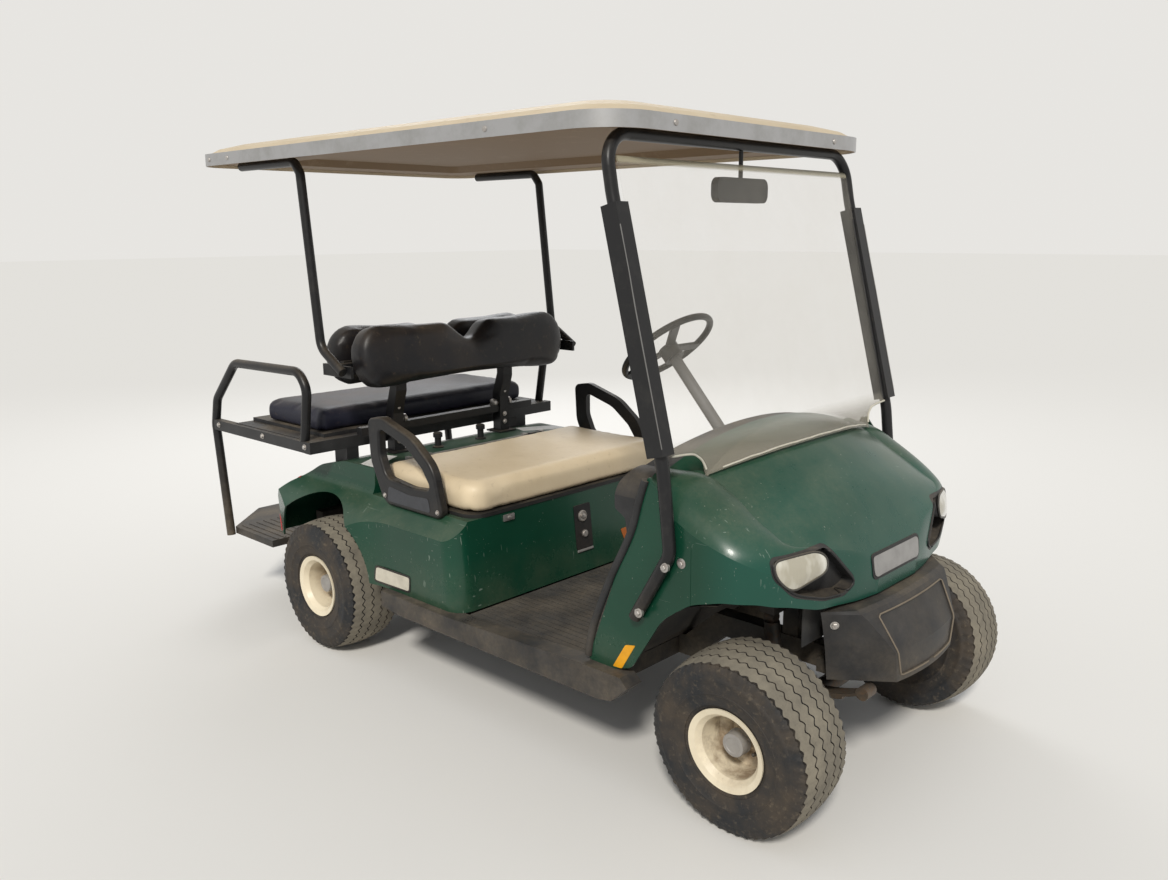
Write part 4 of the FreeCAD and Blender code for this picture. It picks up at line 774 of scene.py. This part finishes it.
def make_wheel_fittings(node):
    """Dust cap, lug nuts and valve in one rim."""
    low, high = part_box(node.replace("rim", "tyre"))
    side = 1 if "left" in node else -1
    pose = Matrix.Translation((low + high) / 2) @ wheel_lean(node)
    out = Vector((0, side, 0))
    cap, nuts, stem = Builder(), Builder(), Builder()
    cap.disc_stack(out * CAP_SEAT, out, (
        (0.0315, 0), (0.0318, 0.004), (0.0305, 0.006), (0.0300, 0.028), (0.0285, 0.0315),
        (0.020, 0.0325), (0.0185, 0.0312), (0.004, 0.0312)), 40)
    for k in range(4):
        a = math.radians(45 + 90 * k)
        seat = Vector((NUT_CIRCLE * math.cos(a), side * -NUT_SEAT, NUT_CIRCLE * math.sin(a)))
        nuts.disc_stack(seat, out, ((0.0125, 0), (0.0125, 0.003), (0.0098, 0.0045)), 20)
        nuts.disc_stack(seat, out, (
            (0.0098, 0.003), (0.0098, 0.014), (0.0075, 0.018), (0.0058, 0.0185)), 6)
        nuts.disc_stack(seat, out, ((0.0054, 0.012), (0.0054, 0.024), (0.0042, 0.025)), 14)
    foot = Vector((0.0725, side * 0.030, 0.0))
    lean = Vector((-0.45, side * 1.0, 0))
    stem.disc_stack(foot, lean, (
        (0.0075, -0.006), (0.0078, 0.002), (0.0055, 0.005), (0.0042, 0.024), (0.0048, 0.025),
        (0.0048, 0.034), (0.0036, 0.036)), 16)
    for form, name, shade in ((cap, "_cap", "cap_grey"), (nuts, "_nuts", "bolt_steel"),
                              (stem, "_valve", "wheel_rubber")):
        obj = form.make(node + name, shade, None, 30)
        obj.data.transform(pose)
        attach(obj, BODY_OF[node])


def make_wheels():
    """The four tyres and what is fixed in their rims."""
    for end in ("front", "rear"):
        for _, word in SIDES:
            make_tyre("tyre_%s_%s" % (end, word))
            make_wheel_fittings("rim_%s_%s" % (end, word))


# Soft parts

CLOTH_FRAMES = 16


def soft_copy(node, name, shrink, voxel):
    """A copy of a soft solid, drawn in a little and evened out for the cloth run."""
    data = NODES[node].data.copy()
    data.name = name
    obj = add_object(name, data)
    low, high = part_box(node)
    centre = (low + high) / 2
    half = (high - low) / 2
    for v in data.vertices:
        away = v.co - centre
        v.co = centre + Vector([away[k] * (1 - shrink / max(half[k], 1e-6)) for k in range(3)])
    remesh = obj.modifiers.new("even", "REMESH")
    remesh.mode = "VOXEL"
    remesh.voxel_size = voxel
    apply_modifiers(obj)
    return obj


def apply_modifiers(obj):
    """Put the mesh that the modifiers make in place of the object's own."""
    bpy.context.view_layer.update()
    graph = bpy.context.evaluated_depsgraph_get()
    data = bpy.data.meshes.new_from_object(obj.evaluated_get(graph))
    old = obj.data
    obj.modifiers.clear()
    obj.data = data
    bpy.data.meshes.remove(old)


def swell(obj, pressure, cap):
    """Blow the cover up from inside with cloth, no point moving further than cap."""
    start = [v.co.copy() for v in obj.data.vertices]
    cloth = obj.modifiers.new("swell", "CLOTH")
    cloth.settings.use_pressure = True
    cloth.settings.uniform_pressure_force = pressure
    cloth.settings.quality = 4
    cloth.settings.mass = 0.4
    cloth.settings.tension_stiffness = 30
    cloth.settings.compression_stiffness = 30
    cloth.settings.bending_stiffness = 2.0
    cloth.settings.effector_weights.gravity = 0
    cloth.collision_settings.use_collision = False
    cloth.point_cache.frame_start = 1
    cloth.point_cache.frame_end = CLOTH_FRAMES
    scene = bpy.context.scene
    for number in range(1, CLOTH_FRAMES + 1):
        scene.frame_set(number)
    apply_modifiers(obj)
    scene.frame_set(1)
    for v, old in zip(obj.data.vertices, start):
        move = v.co - old
        if move.length > cap:
            v.co = old + move.normalized() * cap


def cushion(node, shade, shrink, pressure, cap, keep, wrinkle):
    """A padded piece in a soft solid's place, past the solid's box by keep at the most."""
    obj = soft_copy(node, node + "_cover", shrink, 0.010)
    swell(obj, pressure, cap)
    low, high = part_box(node)
    for v in obj.data.vertices:
        p = v.co
        crease = noise.noise(Vector((p.x * 9, p.y * 5, p.z * 9)))
        fine = noise.noise(Vector((p.x * 30, p.y * 11, p.z * 30)))
        v.co = p + v.normal * (wrinkle * (crease * 0.7 + fine * 0.3))
        p = v.co
        v.co = Vector([min(max(p[k], low[k] - keep[0][k]), high[k] + keep[1][k])
                       for k in range(3)])
    smooth = obj.modifiers.new("smooth", "SMOOTH")
    smooth.factor = 0.5
    smooth.iterations = 3
    apply_modifiers(obj)
    dress(obj, shade)
    obj.data.shade_smooth()
    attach(obj, BODY_OF[node])
    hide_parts(node)


def make_soft_parts():
    """Two cushions and two backrests. Each may swell past its box on its seat's side."""
    up = ((0, 0, 0), (0.004, 0.004, 0.008))
    ahead = ((0, 0.004, 0.004), (0.008, 0.004, 0.006))
    back = ((0.008, 0.004, 0.004), (0, 0.004, 0.006))
    cushion("seat_cushion", "seat_tan", 0.004, 3.0, 0.012, up, 0.0016)
    cushion("rear_cushion", "seat_navy", 0.004, 3.0, 0.012, up, 0.0016)
    cushion("backrest_front", "back_black", 0.005, 4.0, 0.014, ahead, 0.0012)
    cushion("backrest_rear", "back_black", 0.005, 4.0, 0.014, back, 0.0012)


# Front body details

# Outlines are millimetres across and up on the lamp's own plane
LAMP_TURN = math.radians(-20)
LAMP_CENTRE = Vector((92, -330, 632))
LAMP_AHEAD = 60
LAMP_CUP = ((127, 42), (122, 2), (66, -45), (-28, -71), (-98, -75), (-136, -54), (-38, 47))
LAMP_LENS = ((127, 42), (122, 2), (80, -36), (-30, -6), (-34, 28), (-2, 47))
LENS_RINGS = 6
LENS_PLACES = ((104, 18), (52, -4), (34, 26))
LENS_LIFT = 0.002
LENS_BULGE = 0.012
LIP_SHARE = 1.02


def lamp_place(across, up, side):
    """A place on a headlamp's own plane, as millimetres across and up from its centre."""
    turn = Matrix.Rotation(LAMP_TURN, 3, "Z")
    place = turn @ Vector((LAMP_AHEAD, -across, up)) + LAMP_CENTRE
    return spot(place.x, place.y * -side, place.z)


def lamp_way(side):
    """The way that a look straight into a headlamp goes."""
    way = Matrix.Rotation(LAMP_TURN, 3, "Z") @ Vector((-1, 0, 0))
    return Vector((way.x, way.y * -side, 0))


def make_headlamps():
    """A clear fluted lens in a dark ring, and a rubber lip round the lamp's hollow."""
    for side, word in SIDES:
        way = lamp_way(side)
        outline = [lamp_place(x, z, side) for x, z in rounded(LAMP_LENS, 24)]
        tips = [hit("headlamps", lamp_place(x, z, side) - way * BACK_OFF, way)[0]
                for x, z in LENS_PLACES]
        level = (tips[1] - tips[0]).cross(tips[2] - tips[0]).normalized()
        vertices = []
        middle = sum(outline, Vector()) / len(outline)
        for ring in range(LENS_RINGS):
            share = 1 - ring / LENS_RINGS
            for corner in outline:
                place = middle + (corner - middle) * share
                reach = (tips[0] - place).dot(level) / way.dot(level)
                out = LENS_LIFT + LENS_BULGE * (1 - share * share)
                vertices.append(place + way * (reach - out))
        count = len(outline)
        faces = ring_faces(LENS_RINGS, count)
        faces.append(tuple(range(len(vertices) - count, len(vertices))))
        piece("lamp_lens_" + word, vertices, faces, "lamp_clear")
        tube("lamp_ring_" + word, vertices[:count], 0.003, "lamp_bowl", True, 8)
        seam = []
        for x, z in rounded(LAMP_CUP, 24):
            start = lamp_place(x * LIP_SHARE, z * LIP_SHARE, side) - way * BACK_OFF
            seam.append(hit("headlamps", start, way)[0] - way * 0.001)
        tube("lamp_lip_" + word, seam, 0.0034, "wheel_rubber", True, 8)


def make_badge():
    """A blank plate with a black rim on the nose."""
    front_plate("badge_rim", "front_cowl", ((-130, 627), (130, 627), (126, 562), (-126, 562)),
                (18, 4), 200, 0.0022, "mirror_black", 6)
    front_plate("badge_plate", "front_cowl", ((-122, 620), (122, 620), (119, 569), (-119, 569)),
                (14, 4), 200, 0.0036, "cap_grey", 6)


def make_side_plates():
    """Small blank plates low on the flanks, pale with a dark rim."""
    for side, word in SIDES:
        side_plate("flank_rim_" + word, "rear_body",
                   ((-1362, 364), (-1186, 364), (-1190, 308), (-1369, 308)), (12, 3), side,
                   0.0016, "mirror_black")
        side_plate("flank_plate_" + word, "rear_body",
                   ((-1356, 358), (-1192, 358), (-1196, 314), (-1362, 314)), (9, 3), side,
                   0.0026, "plate_pale")


# Places ahead of the front axle and up, in millimetres
PANEL_EDGE = ((-248, 829), (-266, 783), (-285, 707), (-312, 648), (-351, 577), (-398, 469),
              (-429, 385), (-436, 330))
MARKER = ((-310, 393), (-278, 400), (-322, 326), (-352, 324))
HOOP_BOLTS = (("front_hoop", -166, 638), ("front_cowl", -139, 646), ("front_hoop", -244, 505))
ARCH_RADIUS = 327
ARCH_CENTRE = 236
ARCH_STEPS = 13
ARCH_START = 98
ARCH_STEP = 4.8


def make_front_trim():
    """Rubber edging, the amber marker, hoop bolts and dark sheets of painted shade in the inner
    arches.
    """
    for side, word in SIDES:
        line = [spot(x, side * 536, z) for x, z in PANEL_EDGE]
        tube("panel_edging_" + word, line, 0.0105, "trim_plastic")
        side_plate("panel_marker_" + word, "front_cowl", MARKER, (4, 2), side, 0.0014, "lamp_amber")
        bolts = Builder()
        for node, x, z in HOOP_BOLTS:
            place, _ = hit(node, spot(x, side * OUTSIDE, z), (0, -side, 0))
            bolts.disc_stack(place, (0, side, 0), (
                (0.0125, -0.006), (0.0125, 0.0016), (0.0115, 0.0022)), 20)
            bolts.hex_bolt(place + Vector((0, side * 0.001, 0)), (0, side, 0), 0.0075)
        bolts.make("hoop_bolts_" + word, "bolt_steel")
        # A dark sheet in each front arch stands for painted shade.
        vertices = []
        for step in range(ARCH_STEPS):
            angle = math.radians(ARCH_START + step * ARCH_STEP)
            x, z = ARCH_RADIUS * math.cos(angle), ARCH_CENTRE + ARCH_RADIUS * math.sin(angle)
            vertices += [spot(x, side * y, z) for y in (292, 526)]
        faces = [(2 * k, 2 * k + 1, 2 * k + 3, 2 * k + 2) for k in range(ARCH_STEPS - 1)]
        piece("arch_painted_shade_" + word, vertices, faces, "floor_black")


# Half of the panel's outline, as places across and up
PANEL_SEAM = ((0, 499), (177, 499), (159, 411), (140, 346), (0, 346))
SEAM_STEPS = 9


def make_bumper_details():
    """The dusty seam round the bumper's sunk panel, a dark sheet of painted shade behind it, and two
    bolts.
    """
    for side, word in SIDES:
        path = []
        for start, end in zip(PANEL_SEAM, PANEL_SEAM[1:]):
            for step in range(SEAM_STEPS):
                y = start[0] + (end[0] - start[0]) * step / SEAM_STEPS
                z = start[1] + (end[1] - start[1]) * step / SEAM_STEPS
                place, _ = hit("front_bumper", spot(500, side * y, z), BACKWARD)
                path.append(place + Vector((0.0006, 0, 0)))
        tube("bumper_seam_" + word, path, 0.0022, "seam_dust", sides=6, turns=1)
        # A dark sheet behind the bumper stands for painted shade.
        shade_slab = Builder()
        right, left = sorted((side * 150, side * 316))
        shade_slab.slab(spot(58, right, 424), spot(61, left, 556))
        shade_slab.make("nose_painted_shade_" + word, "floor_black")
        fixing = Builder()
        place, way = hit("front_bumper", spot(500, side * 268, 482), BACKWARD)
        fixing.hex_bolt(place, way, 0.008)
        fixing.make("bumper_bolt_" + word, "bolt_steel")


# Windshield details

SHEET_FOOT = (-151, 778)
SHEET_BACK = 195
SHEET_RISE = 796
# The tongue is the level foot of the sheet. TONGUE_TOP is in metres.
TONGUE_HALF = 400
TONGUE_STEP = 20
TONGUE_TOP = 0.93


def sheet_x(z):
    """How far ahead the leaning sheet stands at a height."""
    return SHEET_FOOT[0] - (z - SHEET_FOOT[1]) * SHEET_BACK / SHEET_RISE


def shield_edge():
    """The front edge of the sheet's tongue, found by rays from above."""
    path = []
    for across in range(-TONGUE_HALF, TONGUE_HALF + 1, TONGUE_STEP):
        for ahead in range(140, -160, -3):
            try:
                place, _ = hit("windshield", spot(ahead, across, 1000), (0, 0, -1))
            except RuntimeError:
                continue
            if place.z < TONGUE_TOP:
                path.append(place)
                break
    return path


def make_shield_details():
    """The pale worn edges of the sheet and its seals."""
    tube("shield_edge", shield_edge(), 0.0024, "edge_haze", sides=8, turns=1)
    for side, word in SIDES:
        low = [(526, 894), (450, 890), (430, 880), (412, 866), (406, 845)]
        line = [spot(sheet_x(z) + 1, side * y, z) for y, z in low]
        tube("shield_lip_" + word, line, 0.0028, "edge_haze", sides=8)
        seal = [spot(sheet_x(z) - 2, side * 527, z) for z in range(900, 1470, 60)]
        tube("shield_seal_" + word, seal, 0.0045, "wheel_rubber", sides=8)


# Seat details

BASE_FOOT = (-953, 290)
BASE_LEAN = 0.106
BASE_OUT = (1, 0, 0.1)
BASE_AHEAD = -900


def base_x(z):
    """How far ahead the leaning front face of the seat base stands at a height."""
    return BASE_FOOT[0] - BASE_LEAN * (z - BASE_FOOT[1])


def make_seat_details():
    """The key plate with its switch and lip, the orange marker and the latches."""
    front_plate("key_plate", "rear_body", ((-28, 522), (50, 522), (50, 374), (-28, 374)),
                (6, 3), BASE_AHEAD, 0.002, "mirror_black")
    switch = Builder()
    place = spot(base_x(480) + 2, 8, 484)
    switch.disc_stack(place, BASE_OUT, (
        (0.019, 0), (0.019, 0.004), (0.016, 0.006), (0.015, 0.003)), 28)
    switch.disc_stack(place, BASE_OUT, ((0.008, 0), (0.008, 0.009), (0.006, 0.010)), 16)
    place = spot(base_x(420) + 2, 12, 424)
    switch.disc_stack(place, BASE_OUT, ((0.012, 0), (0.012, 0.006), (0.010, 0.008)), 20)
    switch.make("key_switch", "bolt_steel")
    lip = Builder()
    lip.slab(spot(base_x(372) + 1, -26, 366), spot(base_x(372) + 6, 48, 373), 0.001)
    lip.make("key_plate_lip", "cap_grey")
    front_plate("seat_marker", "rear_body", ((195, 398), (250, 398), (236, 346), (214, 346)),
                (6, 2), BASE_AHEAD, 0.002, "lamp_orange")
    latches = Builder()
    for y, z in ((-315, 548), (262, 500)):
        x = base_x(z)
        latches.slab(spot(x + 1, y - 22, z - 10), spot(x + 7, y + 22, z + 10), 0.0015)
        latches.disc_stack(spot(x + 6, y, z), BASE_OUT, (
            (0.006, 0), (0.006, 0.005), (0.004, 0.006)), 14)
    latches.make("seat_latches", "hinge_steel")


def make_loop_details():
    """The dark panel on each arm loop's lower band, and its fixings."""
    corners = rounded([(322, 4), (540, 4), (530, 48), (440, 42), (330, 54)], 12, 3)
    for side, word in SIDES:
        outline = [spot(REAR_AXLE + x, side * 520, SEAT_BASE_TOP + z) for x, z in corners]
        laid("loop_panel_" + word, "arm_loops", outline, (0, -side, 0), 0.0012, "cap_dark")
        fixings = Builder()
        for x, z in ((308, 20), (574, 12)):
            start = spot(REAR_AXLE + x, side * 540, SEAT_BASE_TOP + z)
            place, _ = hit("arm_loops", start, (0, -side, 0))
            fixings.hex_bolt(place, (0, side, 0), 0.006)
        fixings.make("loop_bolts_" + word, "bolt_steel")


UPRIGHT = 250


def make_rear_details():
    """Pegs and labels on the shelf, knobs on the uprights, and deck bolts."""
    pegs = Builder()
    for y in (-110, 92):
        foot = spot(REAR_AXLE + 96, y, SHELF_TOP)
        pegs.disc_stack(foot, (0, 0, 1), (
            (0.021, 0), (0.021, 0.004), (0.012, 0.007), (0.012, 0.036), (0.017, 0.038),
            (0.017, 0.052), (0.012, 0.056)), 20)
    pegs.make("shelf_pegs", "mirror_black")
    for side, word in SIDES:
        corners = ((112, 452), (190, 452), (108, 300), (40, 322))
        outline = [spot(REAR_AXLE + x, side * y, SHELF_TOP + 50) for x, y in corners]
        laid("shelf_label_" + word, "rear_body", outline, (0, 0, -1), 0.0008, "label_white",
             rings=2, thick=0.0006)
        knob = Builder()
        for y in (-30, 30):
            place = spot(REAR_AXLE + 37, side * UPRIGHT + y * 0.72, 764)
            knob.disc_stack(place, (0, y, 0), (
                (0.011, 0), (0.011, 0.010), (0.016, 0.011), (0.016, 0.022), (0.013, 0.024)), 18)
        for z in (690, 720, 810, 840):
            knob.hex_bolt(spot(REAR_AXLE + 58, side * UPRIGHT, z), (1, 0, 0), 0.007)
        knob.make("upright_knobs_" + word, "bolt_steel")
        bolts = Builder()
        for x in (-40, -320, -640):
            place, _ = hit("deck_frame", spot(REAR_AXLE + x, side * OUTSIDE, 704), (0, -side, 0))
            bolts.hex_bolt(place, (0, side, 0), 0.0075)
        bolts.make("deck_bolts_" + word, "bolt_steel")


def ridge_bed(name, node, back, front, half, pitch, wide, tall, shade):
    """Low ridges that run along the cart on a solid's level top."""
    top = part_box(node)[1].z
    ridges = Builder()
    for index in range(int(2 * half / pitch) + 1):
        at = pitch * index - half
        low, high = spot(back, at - wide / 2, 0), spot(front, at + wide / 2, 0)
        low.z, high.z = top - 0.0005, top + tall * MM
        ridges.slab(low, high)
    ridges.make(name, shade)


def make_treads():
    """Ribs on the floor mat, the footplate and the sills."""
    ridge_bed("mat_ribs", "floor_mat", -930, -420, 480, 24, 9, 1.6, "mat_rubber")
    ridge_bed("footplate_ribs", "footplate", REAR_AXLE - 625, REAR_AXLE - 365, 510, 30, 8, 2.2,
              "trim_plastic")
    for side, word in SIDES:
        ridges = Builder()
        for y in (522, 534, 546, 558):
            for x0, x1 in ((-920, -700), (-696, -460)):
                right, left = sorted((side * (y - 2.5), side * (y + 2.5)))
                ridges.slab(spot(x0, right, 290), spot(x1, left, 300))
        ridges.make("sill_ribs_" + word, "trim_plastic")


SLEEVE_FOOT = 920
SLEEVE_STEPS = 13
SLEEVE_STEP = 42


def make_sleeve_edges():
    """A thin grey line along the front corners of the hoop's sleeves."""
    for side, word in SIDES:
        path = []
        for step in range(SLEEVE_STEPS):
            up = SLEEVE_FOOT + step * SLEEVE_STEP
            for across in range(578, 500, -2):
                try:
                    place, _ = hit("front_hoop", spot(300, side * across, up), BACKWARD)
                except RuntimeError:
                    continue
                path.append(place)
                break
        tube("sleeve_edge_" + word, path, 0.0016, "column_grey", sides=6, turns=1)


def make_roof_details():
    """Screws along the roof's metal band."""
    screws = Builder()
    low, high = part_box("canopy_band")
    middle = (low.z + high.z) / 2
    for x in (low.x + 0.10, low.x + 0.225, high.x - 0.42):
        for side, _ in SIDES:
            screws.dome((x, side * high.y, middle), (0, side, 0), 0.008)
    for y in (-0.37, 0.37):
        screws.dome((high.x, y, middle), (1, 0, 0), 0.008)
    screws.make("band_screws", "bolt_steel")


def make_mirror_glass():
    """The glass on the mirror's rear face."""
    low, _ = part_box("mirror")
    glass = Builder()
    glass.slab((low.x - 0.0012, -0.110, 1.489), (low.x + 0.002, 0.110, 1.538), 0.001)
    glass.make("mirror_sheet", "mirror_glass")


# Camera, light and floor

CAMERA_PLACE = Vector((2.3312, -2.3031, 1.4050))
CAMERA_YAW = 133.253
CAMERA_PITCH = -11.793
CAMERA_ROLL = -0.350
FOCAL_PIXELS = 993.26
PHOTO_WIDTH = 1168
SENSOR = 36.0
PALE = (0.80, 0.785, 0.755)
FLOOR_REACH = 60


def make_camera():
    """The photograph's view, fitted by the cart's wheels, hoop, roof and seat."""
    yaw, pitch = math.radians(CAMERA_YAW), math.radians(CAMERA_PITCH)
    ahead = Vector((math.cos(pitch) * math.cos(yaw), math.cos(pitch) * math.sin(yaw),
                    math.sin(pitch)))
    data = bpy.data.cameras.new("camera")
    data.sensor_width = SENSOR
    data.lens = SENSOR * FOCAL_PIXELS / PHOTO_WIDTH
    camera = add_object("camera", data)
    camera.rotation_mode = "QUATERNION"
    camera.location = CAMERA_PLACE
    roll = Quaternion(ahead, -math.radians(CAMERA_ROLL))
    camera.rotation_quaternion = roll @ ahead.to_track_quat("-Z", "Y")
    bpy.context.scene.camera = camera


def add_light(name, kind, toward, power, color):
    """A light of a kind that shines from the way it is given."""
    data = bpy.data.lights.new(name, kind)
    data.energy = power
    data.color = color
    light = add_object(name, data)
    light.rotation_mode = "QUATERNION"
    light.rotation_quaternion = Vector(toward).to_track_quat("Z", "Y")
    return light


def make_floor():
    """A pale level floor that runs out to the background."""
    data = bpy.data.meshes.new("floor")
    r = FLOOR_REACH
    data.from_pydata([(-r, -r, 0), (r, -r, 0), (r, r, 0), (-r, r, 0)], [], [(0, 1, 2, 3)])
    floor = add_object("floor", data)
    floor.location.z = -0.0005
    material = bpy.data.materials.new("floor")
    material.use_nodes = True
    set_inputs(material.node_tree.nodes["Principled BSDF"],
               {"Base Color": (*PALE, 1), "Roughness": 1.0, "Specular IOR Level": 0.0})
    floor.data.materials.append(material)


def make_world():
    """A pale sky that lights the scene, and a paler one that is seen and mirrored."""
    world = bpy.data.worlds.new("studio")
    world.use_nodes = True
    tree = world.node_tree
    light = tree.nodes["Background"]
    set_inputs(light, {"Color": (0.93, 0.96, 1.0, 1), "Strength": 0.5})
    seen = tree.nodes.new("ShaderNodeBackground")
    set_inputs(seen, {"Color": (*PALE, 1), "Strength": 1.0})
    path = tree.nodes.new("ShaderNodeLightPath")
    mix = tree.nodes.new("ShaderNodeMixShader")
    shows = path.outputs["Is Camera Ray"]
    for ray in ("Is Glossy Ray", "Is Transmission Ray"):
        either = tree.nodes.new("ShaderNodeMath")
        either.operation = "MAXIMUM"
        tree.links.new(shows, either.inputs[0])
        tree.links.new(path.outputs[ray], either.inputs[1])
        shows = either.outputs[0]
    tree.links.new(shows, mix.inputs[0])
    tree.links.new(light.outputs[0], mix.inputs[1])
    tree.links.new(seen.outputs[0], mix.inputs[2])
    tree.links.new(mix.outputs[0], tree.nodes["World Output"].inputs["Surface"])
    bpy.context.scene.world = world


def make_studio():
    """The floor, the sky, a soft sun and a faint lamp behind the cart."""
    make_floor()
    make_world()
    sun = add_light("sun", "SUN", (0.42, -0.62, 0.66), 2.35, (1.0, 0.965, 0.9))
    sun.data.angle = math.radians(9)
    place = Vector((-3.5, 3.0, 3.6))
    lamp = add_light("rim", "AREA", place - Vector((0, 0, 0.9)), 60, (0.95, 0.97, 1.0))
    lamp.location = place
    lamp.data.shape = "DISK"
    lamp.data.size = 3.0
    bpy.context.scene.view_settings.view_transform = "Standard"


make_camera()
make_studio()
dress_nodes()
make_wheels()
make_soft_parts()
make_headlamps()
make_badge()
make_front_trim()
make_side_plates()
make_bumper_details()
make_shield_details()
make_seat_details()
make_loop_details()
make_rear_details()
make_treads()
make_sleeve_edges()
make_roof_details()
make_mirror_glass()
